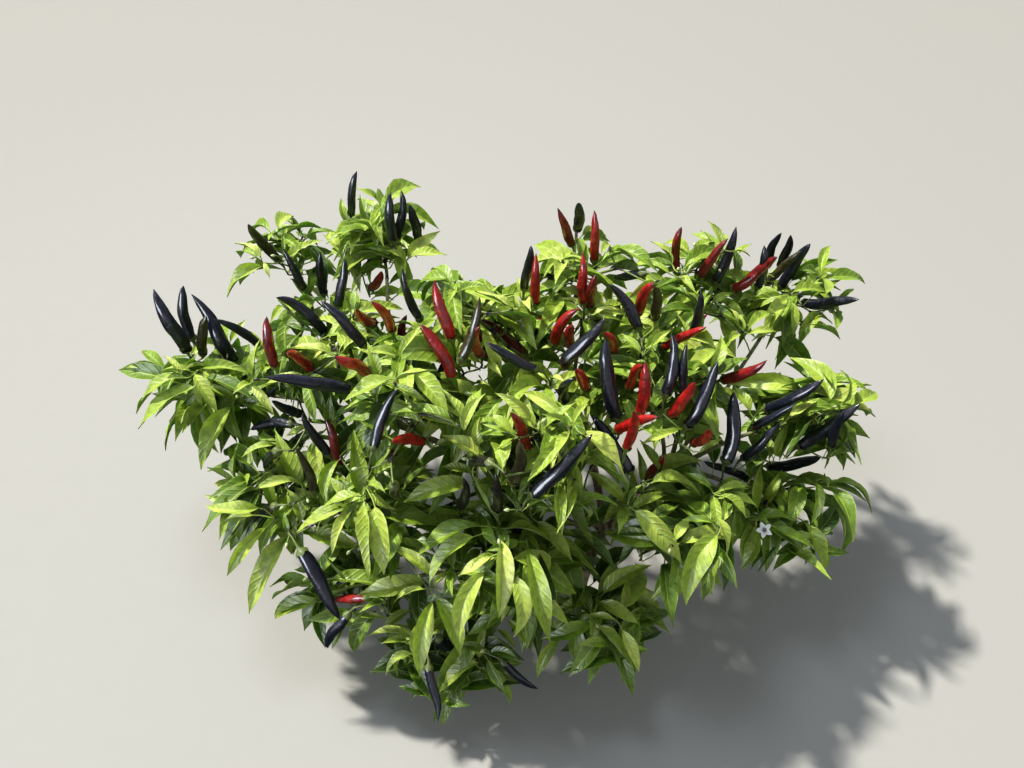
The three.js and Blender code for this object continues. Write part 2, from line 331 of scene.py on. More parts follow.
# Shoots
SHOOT_SPACING = 0.03
SHOOT_TRIES = 14
SHOOTS_PER_LITRE = 3.6
FEWEST_SHOOTS = 4
OUTER_SHOOT_REACH = (0.45, 0.68)
INNER_SHOOTS = 8
INNER_SHOOT_REACH = (0.0, 0.38)
FILL_DEPTHS = (0.07, 0.12)
FILL_SHARE = 0.6
DEEPEST_FILL = 0.8
POD_SHOOT_LEAN = 0.4
ROSETTE_DEPTH = 0.03
ROSETTE_RISE = 0.7
FILL_LEAN = 0.5
SHOOT_OUT, SHOOT_RISE, SHOOT_SPREAD = 0.7, 0.8, 0.15
PHOTO_LEAF_DEPTH = 0.022
PHOTO_LEAF_STALK = 0.012
PHOTO_LEAF_RISE = 0.004
SHORT_OF_MIDDLE = 0.03

# Leaves
INNER_LEAVES = (5, 7)
LEAVES_PER_SHOOT = (6, 8)
LEAVES_UNDER_PODS = (3, 5)
LEAF_LENGTH = (0.036, 0.098)
SMALL_LEAF_LENGTH = (0.034, 0.078)
SMALL_LEAVES_ABOVE = 0.29
LEAF_WIDTH_RATIO = (0.34, 0.43)
WIDEST_LEAF = 0.034
LEAF_SIZES = (0.82, 1.16)
LEAF_ARCH = (0.08, 0.2)
LEAF_FOLD = (0.6, 1.05)
LEAF_PEAK = 0.42
LEAF_BEND = 0.06
LEAF_OUTWARD = 0.15
LEAF_ROLL = 0.3
LEAF_TWIST = 0.35
LEAF_WAVE = 0.17
LEAF_WAVES_ALONG, LEAF_WAVES_ACROSS = 9, 1.5
EDGE_DROOP = 0.1
FOLD_EASING = 0.35
RING_CROWDING = 0.06
LEAF_POINT = 0.0006
LEAF_FOOT = (0.15, 0.23)
OLD_LEAVES = (0, 0.3)
INNER_YOUTH = 0.4
OLD_AND_YOUNG_LIFT = [0.15, 0.9]
OLD_AND_YOUNG_SLOPE = [-0.55, 0.3]
SLOPE_SPREAD = 0.25
RETRY_TURN = 0.45
LEAF_RINGS = 11
INNER_LEAF_RINGS = 8
PETIOLE_RINGS = 3
PETIOLE_RADIUS = 0.0007
LEAF_THICKNESS = 0.00035
FOOT_POWER = 0.8
TIP_POWER = 1.2
OVERHANG = 0.02
GROUND_GAP = 0.004
LEAF_TRIES = 5
RETRY_SIZE = 0.9
FEWEST_LEAVES = 3
LEAVES_DOWN_TWIG = 0.014
PHOTO_LEAF_ARCH = (0.09, 0.15)
# Leaves that show in front take lighter greens, as painted light.
PHOTO_LEAF_PAINTED_LIGHT = 1.2
PHOTO_LEAF_TRIES = 4
PUSH_BACK = 1.015
GOLDEN_TURN = math.radians(137.5)
LIMB_LEAF_PLACES = np.linspace(0.3, 0.97, 6)
LIMB_LEAF_OVERHANG = 0.1
LEAF_SHOWN = 0.3
LEAF_GROUP_EDGES = [-0.34, -0.22, -0.1, 0.02, 0.14]

# Greens, as places in the list of blade greens. High places stand partly for painted light, low ones partly
# for painted shade.
MIDDLE_TONE = 3.6
# Leaves at forks and along limbs, inside the crown, take low greens: partly their age, partly painted
# shade.
FORK_LEAF_TONE = 2.4
LIMB_LEAF_TONE = 2.0
TONE_SPREAD = 0.6
SHOOT_TONE_SPREAD = 0.7
# Lighter with height: partly young growth, partly painted light.
LIGHT_AND_YOUTH_WITH_HEIGHT = 1.4
# Darker with depth inside a mass: painted shade.
PAINTED_SHADE_WITH_DEPTH = 0.9
TONE_BOTTOM = 0.1
TONE_RISE = 0.36
SHADE_DEPTH = 0.05
YOUNG_LEAF_LIFT = 0.5

# The camera's view
BEYOND = 5.0
SEEN_GAP = 0.004

# Pods
POD_LENGTH = (0.066, 0.096)
POD_LEAN = 1.04
POD_SIDES = 16
POD_RINGS = 28
POD_STALK = 0.022
POD_REACH = 0.032
POD_DEPTHS = np.linspace(0.01, 0.1, 19)
POD_TIP_DEPTH = 0.004
HANGING_POD_DEPTH = 0.012
POD_OVERHANG = 0.006
SHORTEST_POD = 0.045
MOST_SEEDED_PODS = 3
POD_SLIMNESS = (0.082, 0.097)
POD_BOW = (0.015, 0.085)
POD_SWAY = 0.016
POD_HOOK = 0.035
POD_TAPER = (2.3, 4.6)
POD_CROWDING = 0.12
POD_ENDS = (0.0005, 0.0009)
HIDING_DEPTH = 0.06
SEEDED_POD_RISE, SEEDED_POD_SPREAD = 0.6, 0.4

# Pod stalks: the radii from the twig up. The cup has its steps along the pod, its radii as shares of the
# pod's, and its thickness. Its last two rings lie inside it.
STALK_RADII = [0.0012, 0.0011, 0.0011, 0.0012, 0.0014, 0.0017, 0.0022]
CUP_STEPS = np.array([-0.0014, 0, 0.0018, 0.0042, 0.0034, 0.0012])
CUP_SWELL = np.array([0.36, 0.6, 0.82, 0.93, 0.8, 0.5])
CUP_SKIN = np.array([0.0005] * 4 + [0] * 2)
CUP_RIM = 3
CUP_TEETH = (0.002, -0.0008)
CUP_SIDES = 10
SLOT_GREEN_STALK, SLOT_DARK_STALK = 0, 1

# Flowers and buds
PETALS = 5
PETAL_LENGTH = 0.0105
PETAL_WIDTH = 0.0065
PETAL_RINGS = 6
PETAL_THICKNESS = 0.0003
PETAL_POINT = 0.0004
ANTHER_LENGTH = 0.0032
ANTHER_RADII = [0.0006, 0.0009, 0.0009, 0.0005]
FLOWER_STALK_RADII = [0.0007, 0.0007, 0.0007, 0.0007, 0.0009, 0.0016, 0.0026]
BUD_CHANCE = 0.35
BUD_SPREAD = 0.5
BUD_STALK = 0.012
BUD_STALK_RADIUS = 0.0007
BUD_STALK_RINGS = 5
BUD_LENGTH = 0.0062
BUD_RADII = [0.0009, 0.0017, 0.002, 0.0018, 0.0012, 0.0004]
THIN_SIDES = 6
SLOT_PETAL, SLOT_ANTHER, SLOT_BUD = 0, 1, 2

# Surfaces
BLADE_MARKS = "along_and_across"
SHADE_STOPS = (0.34, 0.68)
SIDE_VEINS = 8
VEIN_SLANT = 0.16
VEIN_SHARPNESS = 5.0
BLADE_CREASE = math.radians(55)
CUP_CREASE = math.radians(50)

# Stage
FLOOR_REACH = 60.0
LIGHT_AIM = (-0.1, 0.1, 0.25)
SKY_TINT = (0.93, 0.96, 1)
SKY_STOPS = [(0.0, 0.04), (0.47, 0.06), (0.49, 0.85), (0.8, 0.3)]


def unit(v):
    return v / np.linalg.norm(v)


def turned(v, axis, angle):
    """v turned about a unit axis."""
    square = np.cross(axis, v)
    return v * math.cos(angle) + square * math.sin(angle) + axis * (axis @ v) * (1 - math.cos(angle))


def across(v):
    """A unit vector square to v, level where it can be."""
    side = np.cross(v, UP)
    return unit(side) if np.linalg.norm(side) > 1e-6 else np.array([1.0, 0.0, 0.0])


def between(pair):
    """A random number between two."""
    return RNG.uniform(*pair)


def node_points(node):
    """The corners of a CAD node, each once."""
    points = np.array([v.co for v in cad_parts[node].data.vertices], float)
    return np.unique(points.round(7), axis=0)


# The camera


def camera_axes():
    """The camera's right, down and ahead directions in the part's frame."""
    up = -unit(GRAVITY_IN_CAMERA)
    ahead = np.array([0.0, 0.0, 1.0])
    away = unit(ahead - (ahead @ up) * up)
    right = np.cross(away, up)
    return np.array([right, away, up]).T


CAMERA_AXES = camera_axes()


def pixel_ray(pixel):
    """The unit direction from the camera through a pixel of the photograph."""
    x, y = (pixel[i] - IMAGE_SIZE[i] / 2 for i in (0, 1))
    return unit(np.array([x, y, FOCAL_PX]) @ CAMERA_AXES)


def project(points):
    """The pixels and the depths of points, as the camera sees them."""
    seen = (points - CAMERA_PLACE) @ CAMERA_AXES.T
    return FOCAL_PX * seen[:, :2] / seen[:, 2:] + np.array(IMAGE_SIZE) / 2, seen[:, 2]


def metres_per_pixel(point):
    return (point - CAMERA_PLACE) @ CAMERA_AXES[2] / FOCAL_PX


# The masses, as solids that points can be tested against


class Mass:
    """One foliage solid: its middle, its size, and tests of what lies in it."""

    def __init__(self, node):
        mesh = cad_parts[node].data
        corners = [v.co.copy() for v in mesh.vertices]
        self.node = node
        self.name = node.removeprefix("foliage_")
        self.tree = BVHTree.FromPolygons(corners, [p.vertices[:] for p in mesh.polygons])
        low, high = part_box(node)
        self.centre = np.array((low + high) / 2)
        self.size = np.array(high - low)
        self.shoots = []

    def entry(self, start, direction):
        """Where a ray first meets the mass. One that misses it ends a little short of the mass's middle."""
        hit = self.tree.ray_cast(Vector(start), Vector(direction))[0]
        if hit is None:
            return start + direction * ((self.centre - start) @ direction - SHORT_OF_MIDDLE)
        return np.array(hit)

    def depth(self, point):
        """How far inside the mass a point lies, below zero outside."""
        place, normal, _, distance = self.tree.find_nearest(Vector(point))
        return distance if (place - Vector(point)).dot(normal) > 0 else -distance

    def reach(self, direction):
        """How far the mass reaches from its middle in a direction."""
        hit = self.tree.ray_cast(Vector(self.centre), Vector(direction))
        return hit[3] if hit[0] is not None else float(self.size.mean()) / 2


# Meshes


class Lofts:
    """Closed lofts collected into one mesh. Each is a stack of rings with a point at either end."""

    def __init__(self):
        self.points, self.quads, self.triangles = [], [], []
        self.quad_slots, self.triangle_slots = [], []
        self.marks = []
        self.count = 0

    def add(self, rings, first, last, slots, marks=None, turned_sides=None):
        """rings is (rings, sides, 3). slots is a number, or one for each row of faces and each side. Quads
        on the turned sides start at another corner, so that both faces of a thin blade split alike."""
        rows, sides = rings.shape[:2]
        base = self.count + 1
        grid = base + np.arange(rows * sides).reshape(rows, sides)
        after = np.roll(grid, -1, axis=1)
        quads = np.stack([grid[:-1], after[:-1], after[1:], grid[1:]], axis=-1)
        if turned_sides is not None:
            quads[:, turned_sides] = np.roll(quads[:, turned_sides], -1, axis=-1)
        start = np.stack([np.full(sides, base - 1), after[0], grid[0]], axis=-1)
        end = np.stack([np.full(sides, base + rows * sides), grid[-1], after[-1]], axis=-1)
        slots = np.broadcast_to(slots, (rows + 1, sides))
        self.points += [first[None], rings.reshape(-1, 3), last[None]]
        self.quads.append(quads.reshape(-1, 4))
        self.triangles += [start, end]
        self.quad_slots.append(slots[1:-1].reshape(-1))
        self.triangle_slots += [slots[0], slots[-1]]
        if marks is None:
            marks = np.zeros((rows, sides, 2))
        self.marks += [marks[:1, 0], marks.reshape(-1, 2), marks[-1:, 0]]
        self.count += rows * sides + 2

    def piece(self, name, materials, record_slot, stands_for, sharp=None):
        """Makes the mesh as a piece of the part, in place of CAD nodes. Edges with a turn above sharp are
        not smoothed."""
        points = np.concatenate(self.points)
        quads = np.concatenate(self.quads)
        triangles = np.concatenate(self.triangles)
        corners = np.concatenate([quads.ravel(), triangles.ravel()]).astype(np.int32)
        sizes = np.array([4] * len(quads) + [3] * len(triangles), np.int32)
        mesh = bpy.data.meshes.new(name)
        mesh.vertices.add(len(points))
        mesh.vertices.foreach_set("co", points.astype(np.float32).ravel())
        mesh.loops.add(len(corners))
        mesh.loops.foreach_set("vertex_index", corners)
        mesh.polygons.add(len(sizes))
        starts = np.concatenate([[0], sizes.cumsum()[:-1]]).astype(np.int32)
        mesh.polygons.foreach_set("loop_start", starts)
        mesh.polygons.foreach_set("loop_total", sizes)
        slots = np.concatenate(self.quad_slots + self.triangle_slots).astype(np.int32)
        mesh.polygons.foreach_set("material_index", slots)
        mesh.update(calc_edges=True)
        mesh.polygons.foreach_set("use_smooth", np.ones(len(sizes), bool))
        layer = mesh.uv_layers.new(name=BLADE_MARKS)
        layer.data.foreach_set("uv", np.concatenate(self.marks)[corners].astype(np.float32).ravel())
        for material in materials:
            mesh.materials.append(material)
        if sharp is not None:
            mesh.set_sharp_from_angle(angle=sharp)
        mesh.validate()
        piece = bpy.data.objects.new(name, mesh)
        bpy.context.scene.collection.objects.link(piece)
        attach(piece, "root")
        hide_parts(*stands_for)


def directions_along(path):
    """The unit direction at each point of a path."""
    steps = np.gradient(path, axis=0)
    return steps / np.linalg.norm(steps, axis=1)[:, None]


def sides_along(path):
    """Two directions square to a path and to each other at each of its points, carried along untwisted."""
    tangents = directions_along(path)
    side = across(tangents[0])
    sides = []
    for tangent in tangents:
        side = unit(side - (side @ tangent) * tangent)
        sides.append(side)
    sides = np.array(sides)
    return sides, np.cross(tangents, sides)


def tube_rings(path, radii, sides, relief=None):
    """Rings round a path. relief(angle, place along it) multiplies the radius."""
    side, other = sides_along(path)
    angle = np.arange(sides) * math.tau / sides
    swell = np.ones((len(path), sides))
    if relief:
        swell = relief(angle[None, :], np.linspace(0, 1, len(path))[:, None])
    reach = np.asarray(radii)[:, None] * swell
    return (
        path[:, None]
        + side[:, None] * (reach * np.cos(angle))[..., None]
        + other[:, None] * (reach * np.sin(angle))[..., None]
    )


def add_tube(lofts, path, radii, sides, slots, relief=None):
    """A closed tube round a path."""
    lofts.add(tube_rings(path, radii, sides, relief), path[0], path[-1], slots)


def curve(start, leaving, arriving, end, count):
    """Points on a smooth curve that leaves and arrives in given directions."""
    span = np.linalg.norm(end - start)
    a, b = start + leaving * span / 3, end - arriving * span / 3
    t = np.linspace(0, 1, count)[:, None]
    return (1 - t) ** 3 * start + 3 * (1 - t) ** 2 * t * a + 3 * (1 - t) * t**2 * b + t**3 * end


# Bark


def limb_line(node, towards):
    """The middle line of a limb's solid, from its parent outwards, and its radius at either end."""
    points = node_points(node)
    middle = points.mean(axis=0)
    axis = np.linalg.svd(points - middle)[2][0]
    if (towards - middle) @ axis < 0:
        axis = -axis
    share = points @ axis
    share = (share - share.min()) / (share.max() - share.min())
    fit = np.polyfit(share, points, 2)

    def at(t):
        t = np.atleast_1d(t)[:, None]
        return fit[0] * t**2 + fit[1] * t + fit[2]

    out = np.linalg.norm(points - at(share), axis=1)
    rim = out > RIM_BEYOND
    slope, start = np.polyfit(share[rim], out[rim], 1)
    return at, (start, start + slope)


def ridges(seed, depth, count):
    """Bark relief: ridges that run along the limb, break up and shift round it."""
    rng = np.random.default_rng(seed)
    waves = []
    for _ in range(RIDGE_WAVES):
        waves.append((rng.integers(3, count), rng.uniform(2, 9), rng.uniform(0, math.tau)))

    def relief(angle, along):
        total = sum(
            np.sin(turns * angle + phase + 1.4 * np.sin(pitch * along * 3 + phase))
            * np.cos(pitch * along * 4 + 2 * phase)
            for turns, pitch, phase in waves
        )
        return 1 + depth * np.tanh(total / 1.6)

    return relief


def stem_loft(lofts):
    """The stem: a ribbed root flare, an even taper, and bark ridges. Returns the middle of its fork."""
    points = node_points("main_stem")
    heights = np.linspace(0, STEM_HEIGHT, STEM_RINGS)
    fit = np.polyfit(points[:, 2], points[:, :2], 2)
    line = fit[0] * heights[:, None] ** 2 + fit[1] * heights[:, None]
    path = np.column_stack([line, heights])
    flare = (FLARE_RADIUS - STEM_RADIUS) * np.exp(-FLARE_FADE * heights / FLARE_HEIGHT)
    radii = np.interp(heights, [0, STEM_HEIGHT], [STEM_RADIUS, FORK_RADIUS]) + flare
    bark = ridges(STEM_SEED, STEM_RIDGE_DEPTH, STEM_RIDGES)

    def relief(angle, along):
        fade = np.exp(-RIB_FADE * along * STEM_HEIGHT / FLARE_HEIGHT)
        rib = ROOT_RIB_DEPTH * np.cos(ROOT_RIBS * angle) * fade
        return bark(angle, along) * (1 + rib)

    rings = tube_rings(path, radii, STEM_SIDES, relief)
    rings[0, :, 2] = 0
    lofts.add(rings, path[0], path[-1] + UP * STEM_CROWN, 0)
    return path[-1]


def limb_loft(lofts, node, towards, rings, sides, depth, seed):
    """One limb's bark, begun a little inside its parent. Returns its middle line."""
    at, (start_radius, end_radius) = limb_line(node, towards)
    ends = at([0, 1])
    length = np.linalg.norm(ends[1] - ends[0])
    t = np.linspace(-BURIED / length, 1, rings)
    path = at(t)
    radii = np.interp(t, [0, 1], [start_radius, end_radius])
    add_tube(lofts, path, radii, sides, 0, ridges(seed, depth, LIMB_RIDGES))
    return at


# Shoots


class Shoot:
    """The tip of a twig: where it ends, which way it points, and what the photograph shows on it."""

    def __init__(self, tip, axis, from_photo=False, inner=False):
        self.tip, self.axis = tip, axis
        self.from_photo, self.inner = from_photo, inner
        self.pods, self.leaves = [], []


def pod_from_photo(mass, tip_px, base_px, depth):
    """The stalk end and tip of a pod whose stalk end lies so far inside its mass."""
    base_ray = pixel_ray(base_px)
    base = mass.entry(CAMERA_PLACE, base_ray) + base_ray * depth
    ray = pixel_ray(tip_px)
    seen_length = math.dist(tip_px, base_px) * metres_per_pixel(base)
    length = float(np.clip(seen_length * POD_LEAN, *POD_LENGTH))
    along = (base - CAMERA_PLACE) @ ray
    off = np.linalg.norm(base - CAMERA_PLACE - along * ray)
    length = max(length, off * 1.02)
    half = math.sqrt(length**2 - off**2)
    hangs = tip_px[1] > base_px[1]
    return base, CAMERA_PLACE + ray * (along + half if hangs else along - half)


def photo_pod_depth(mass, tip_px, base_px):
    """How far inside its mass a pod's stalk end lies: so far that an upright pod's tip comes just under the
    mass's skin, and little for a hanging pod."""
    if tip_px[1] > base_px[1]:
        return HANGING_POD_DEPTH
    tips = [pod_from_photo(mass, tip_px, base_px, depth)[1] for depth in POD_DEPTHS]
    return POD_DEPTHS[int(np.argmin([abs(mass.depth(tip) - POD_TIP_DEPTH) for tip in tips]))]


def photo_shoots(mass):
    """The shoots of a mass that the photograph shows: pods that stand close share one."""
    shoots = []
    for ripeness, tip_px, base_px in PHOTO_PODS.get(mass.name, ()):
        depth = photo_pod_depth(mass, tip_px, base_px)
        base, tip = pod_from_photo(mass, tip_px, base_px, depth)
        node = base - unit(unit(tip - base) + UP * 0.5) * POD_STALK
        near = [s for s in shoots if np.linalg.norm(s.tip - node) < POD_REACH]
        if near:
            shoot = near[0]
        else:
            lean = unit(UP + POD_SHOOT_LEAN * unit(node - mass.centre))
            shoot = Shoot(node, lean, from_photo=True)
            shoots.append(shoot)
        shoot.pods.append((ripeness, base, tip))
    for pixel in PHOTO_ROSETTES.get(mass.name, ()):
        ray = pixel_ray(pixel)
        node = mass.entry(CAMERA_PLACE, ray) + ray * ROSETTE_DEPTH
        lean = unit(UP * ROSETTE_RISE + unit(node - mass.centre))
        shoots.append(Shoot(node, lean, from_photo=True))
    for foot_px, tip_px in PHOTO_LEAVES.get(mass.name, ()):
        add_photo_leaf(mass, shoots, foot_px, tip_px)
    return shoots


def add_photo_leaf(mass, shoots, foot_px, tip_px):
    """Puts a leaf on the nearest shoot, or on a new one. Its tip is as far ahead of the camera as its
    foot."""
    ray = pixel_ray(foot_px)
    foot = mass.entry(CAMERA_PLACE, ray) + ray * PHOTO_LEAF_DEPTH
    ahead = CAMERA_AXES[2]
    tip_ray = pixel_ray(tip_px)
    tip = CAMERA_PLACE + tip_ray * (((foot - CAMERA_PLACE) @ ahead) / (tip_ray @ ahead))
    shoot = min(shoots, key=lambda s: np.linalg.norm(s.tip - foot), default=None)
    if shoot is None or np.linalg.norm(shoot.tip - foot) > POD_REACH:
        node = foot - unit(tip - foot) * PHOTO_LEAF_STALK - UP * PHOTO_LEAF_RISE
        shoot = Shoot(node, unit(UP + unit(foot - mass.centre)), from_photo=True)
        shoots.append(shoot)
    shoot.leaves.append((foot, tip))


def seeded_shoots(mass, all_tips, wanted, reach):
    """New shoots for a mass, so far out from its middle, each well away from the ones before it."""
    shoots = []
    for _ in range(wanted):
        best, best_gap = None, 0
        for _ in range(SHOOT_TRIES):
            direction = unit(RNG.normal(size=3) * [1, 1, 0.9] + UP * 0.25)
            tip = mass.centre + direction * mass.reach(direction) * between(reach)
            gap = min((np.linalg.norm(tip - other) for other in all_tips), default=1)
            if gap > best_gap:
                best, best_gap = tip, gap
        if best_gap < SHOOT_SPACING:
            continue
        out = unit(best - mass.centre)
        lean = unit(out * SHOOT_OUT + UP * SHOOT_RISE + RNG.normal(size=3) * SHOOT_SPREAD)
        shoots.append(Shoot(best, lean))
        all_tips.append(best)
    return shoots


def add_fill(pixel):
    """Inner shoots behind the skin of the mass that the camera sees at a pixel."""
    ray = pixel_ray(pixel)
    eye = Vector(CAMERA_PLACE)
    hits = [(mass, mass.tree.ray_cast(eye, Vector(ray))) for mass in masses]
    seen = [(hit[3], mass) for mass, hit in hits if hit[0] is not None]
    if not seen:
        return
    near, mass = min(seen, key=lambda pair: pair[0])
    far = mass.tree.ray_cast(Vector(CAMERA_PLACE + ray * (near + 0.001)), Vector(ray))[3] or 0
    for depth in FILL_DEPTHS:
        if depth > DEEPEST_FILL * far and depth > FILL_DEPTHS[0]:
            break
        node = CAMERA_PLACE + ray * (near + min(depth, FILL_SHARE * far))
        lean = unit(UP + FILL_LEAN * unit(node - mass.centre))
        mass.shoots.append(Shoot(node, lean, inner=True))


# Twigs


def split(shoots):
    """Two groups of shoots, on either side of their middle along their longest spread."""
    tips = np.array([s.tip for s in shoots])
    spread = tips - tips.mean(axis=0)
    axis = np.linalg.svd(spread)[2][0]
    order = np.argsort(spread @ axis)
    half = len(shoots) // 2
    return [shoots[i] for i in order[:half]], [shoots[i] for i in order[half:]]


def twig_radius(count):
    """A twig's radius, from how many shoots it carries."""
    return min(TIP_RADIUS * count**TWIG_THINNING, LIMB_END_RADIUS)


def grow(lofts, start, direction, shoots, forks):
    """Joins a limb's end to its shoots by twigs that fork in two, and adds to the list of their forks."""
    radius = twig_radius(len(shoots))
    if len(shoots) == 1:
        shoot = shoots[0]
        add_twig(lofts, curve(start, direction, shoot.axis, shoot.tip, TWIG_RINGS), radius, TIP_RADIUS)
        return
    middle = np.mean([s.tip for s in shoots], axis=0)
    to_middle = middle - start
    stride = FORK_PLACE + FORK_SPREAD * RNG.random()
    fork = start + to_middle * stride + direction * np.linalg.norm(to_middle) * FORK_LIFT
    heading = unit(unit(to_middle) + LIMB_WAY_KEPT * direction)
    add_twig(lofts, curve(start, direction, heading, fork, TWIG_RINGS), radius, radius * TWIG_TAPER)
    forks.append((fork, heading))
    for group in split(shoots):
        aim = unit(np.mean([s.tip for s in group], axis=0) - fork)
        grow(lofts, fork, unit(aim + TWIG_WAY_KEPT * heading), group, forks)


def add_twig(lofts, path, start_radius, end_radius):
    """A twig with a dark swollen joint at either end."""
    radii = np.linspace(start_radius, end_radius, len(path))
    radii[0] *= JOINT_SWELLING
    radii[-1] *= JOINT_SWELLING
    slots = np.zeros((len(path) + 1, TWIG_SIDES), int)
    slots[:2] = 1
    slots[-2:] = 1
    joint_end = path[:1] + (path[1:2] - path[:1]) * JOINT_SHARE
    path = np.concatenate([path[:1], joint_end, path[1:]])
    radii = np.concatenate([radii[:1], [start_radius], radii[1:]])
    slots = np.concatenate([slots[:2], slots[1:]])
    add_tube(lofts, path, radii, TWIG_SIDES, slots)


# Leaves

# The points of a blade's section, across it: over its upper face, then back under it. The vein and the
# two edges are narrow faces of their own.
UPPER_PLACES = [-1, -0.955, -0.5, -0.045, 0.045, 0.5, 0.955, 1]
UNDER_PLACES = [0.955, 0.5, 0, -0.5, -0.955]
ACROSS = np.array(UPPER_PLACES + UNDER_PLACES)
UNDER_DROP = np.array([0] * 8 + [0.6, 1, 2.4, 1, 0.6]) * LEAF_THICKNESS
UNDER_FACES = np.arange(len(ACROSS)) >= len(UPPER_PLACES) - 1
TEST_COLUMNS = [0, 2, 4, 5, 7]
SLOT_VEIN, SLOT_UNDER, SLOT_BLADE = 0, 1, 2


def blade_width(share):
    """The half width of a leaf along its blade, as a share of the widest. It is broad below the middle."""
    widest = FOOT_POWER / (FOOT_POWER + TIP_POWER)
    at_widest = widest**FOOT_POWER * (1 - widest) ** TIP_POWER
    return share**FOOT_POWER * (1 - share) ** TIP_POWER / at_widest


class Leaf:
    """A leaf: a stalk from its node to its foot, then a folded blade that arches over to its tip."""

    def __init__(self, node, foot, tip, outward, arch=None, rings=LEAF_RINGS):
        self.node, self.foot, self.tip = node, foot, tip
        chord = tip - foot
        length = np.linalg.norm(chord)
        self.width = min(length * between(LEAF_WIDTH_RATIO), WIDEST_LEAF)
        along = chord / length
        level = (chord + LEAF_OUTWARD * length * outward) * [1, 1, 0]
        heading = unit(level) if np.linalg.norm(level) > 1e-5 else np.array([1.0, 0, 0])
        rise = unit(np.cross(np.cross(heading, UP), along))
        side = np.cross(along, rise)
        arch = between(LEAF_ARCH) if arch is None else arch
        bend = rise * arch + side * RNG.normal() * LEAF_BEND
        peak = foot + chord * LEAF_PEAK + bend * length * 2
        self.shape(peak, turned(side, along, RNG.normal() * LEAF_ROLL), rings)

    def shape(self, peak, side, rings):
        """The rings of the leaf, along a curve from its foot to its tip that leans towards the peak."""
        t = np.linspace(0, 1, rings)
        t = t - RING_CROWDING * np.sin(math.tau * t)
        column = t[:, None]
        blade = (1 - column) ** 2 * self.foot + 2 * (1 - column) * column * peak + column**2 * self.tip
        leaving = unit(self.foot - self.node + 1e-6 * UP)
        stalk = curve(self.node, leaving, unit(peak - self.foot), self.foot, PETIOLE_RINGS + 1)
        path = np.concatenate([stalk[:-1], blade])
        tangents = directions_along(path)
        sides = side - (tangents @ side)[:, None] * tangents
        sides /= np.linalg.norm(sides, axis=1)[:, None]
        share = np.concatenate([np.zeros(PETIOLE_RINGS), t])[:, None]
        twist = RNG.normal() * LEAF_TWIST * share
        normals = np.cross(sides, tangents)
        sides = sides * np.cos(twist) + normals * np.sin(twist)
        normals = np.cross(sides, tangents)

        half = np.maximum(blade_width(share) * self.width / 2, PETIOLE_RADIUS)
        half[-1] = PETIOLE_RADIUS / 2
        fold = between(LEAF_FOLD) * (1 - FOLD_EASING * share)
        turn = share * LEAF_WAVES_ALONG + RNG.uniform(0, math.tau) + LEAF_WAVES_ACROSS * ACROSS
        wave = LEAF_WAVE * np.sin(turn) * np.abs(ACROSS) ** 1.5
        lift = np.abs(ACROSS) * np.sin(fold) + wave - EDGE_DROOP * ACROSS**2
        drop = np.where(share > 0, UNDER_DROP, np.minimum(UNDER_DROP * 9, PETIOLE_RADIUS * 1.6))
        out = half * ACROSS * np.cos(fold)
        self.rings = path[:, None] + sides[:, None] * out[..., None]
        self.rings += normals[:, None] * (half * lift - drop)[..., None]
        self.end = path[-1] + tangents[-1] * LEAF_POINT
        self.marks = np.stack(np.broadcast_arrays(share, ACROSS), axis=-1)

    def samples(self):
        """Points over the blade, for tests."""
        return self.rings[PETIOLE_RINGS + 1 :][:, TEST_COLUMNS].reshape(-1, 3)

    def midline(self):
        return self.rings[PETIOLE_RINGS + 1 :, 3]

    def fits(self):
        """Whether the leaf keeps in its bounds, cuts no pod and hides nothing that the photograph shows."""
        points = self.samples()
        low, high = points.min(axis=0), points.max(axis=0)
        inside = low[2] > GROUND_GAP and np.all(low > LOW_BOUND) and np.all(high < HIGH_BOUND)
        return inside and not pods_here.cut(points) and not shown.hidden_by(points)

    def add_to(self, lofts, tone):
        """Adds the leaf with a green for its blade, and others for its edges and vein and its underside."""
        row = np.array([SLOT_VEIN, tone, tone, SLOT_VEIN, tone, tone, SLOT_VEIN] + [SLOT_UNDER] * 6)
        slots = np.tile(row, (len(self.rings) + 1, 1))
        slots[: PETIOLE_RINGS + 1] = SLOT_VEIN
        lofts.add(self.rings, self.node, self.end, slots, self.marks, UNDER_FACES)


def leaf_tone(mass, foot, base_tone):
    """A leaf's green: brighter high and outside in the crown, darker low and inside it. Height gives both
    young growth and painted light, depth inside the mass gives painted shade.
    """
    height = (foot[2] - TONE_BOTTOM) / TONE_RISE
    inside = max(mass.depth(foot), 0) / SHADE_DEPTH
    # Painted light with height, painted shade with depth inside the mass.
    value = base_tone + LIGHT_AND_YOUTH_WITH_HEIGHT * (height - 0.5) - PAINTED_SHADE_WITH_DEPTH * inside
    value += RNG.normal() * TONE_SPREAD
    return SLOT_BLADE + int(np.clip(round(value), 0, len(BLADE_GREENS) - 1))


def leaf_from_photo(mass, shoot, foot, tip, pods):
    """A leaf at its pixels, moved away from the camera where it would hide a pod."""
    outward = unit(shoot.tip - mass.centre + 1e-6)
    for _ in range(PHOTO_LEAF_TRIES):
        leaf = Leaf(shoot.tip, foot, tip, outward, arch=between(PHOTO_LEAF_ARCH))
        if not pods.hidden_by(leaf.samples()):
            break
        foot, tip = (CAMERA_PLACE + (end - CAMERA_PLACE) * PUSH_BACK for end in (foot, tip))
    return leaf


def leaf_count(shoot):
    """How many leaves a shoot should have, with those that the photograph shows on it."""
    kinds = LEAVES_UNDER_PODS if shoot.pods else LEAVES_PER_SHOOT
    return int(RNG.integers(*(INNER_LEAVES if shoot.inner else kinds), endpoint=True))


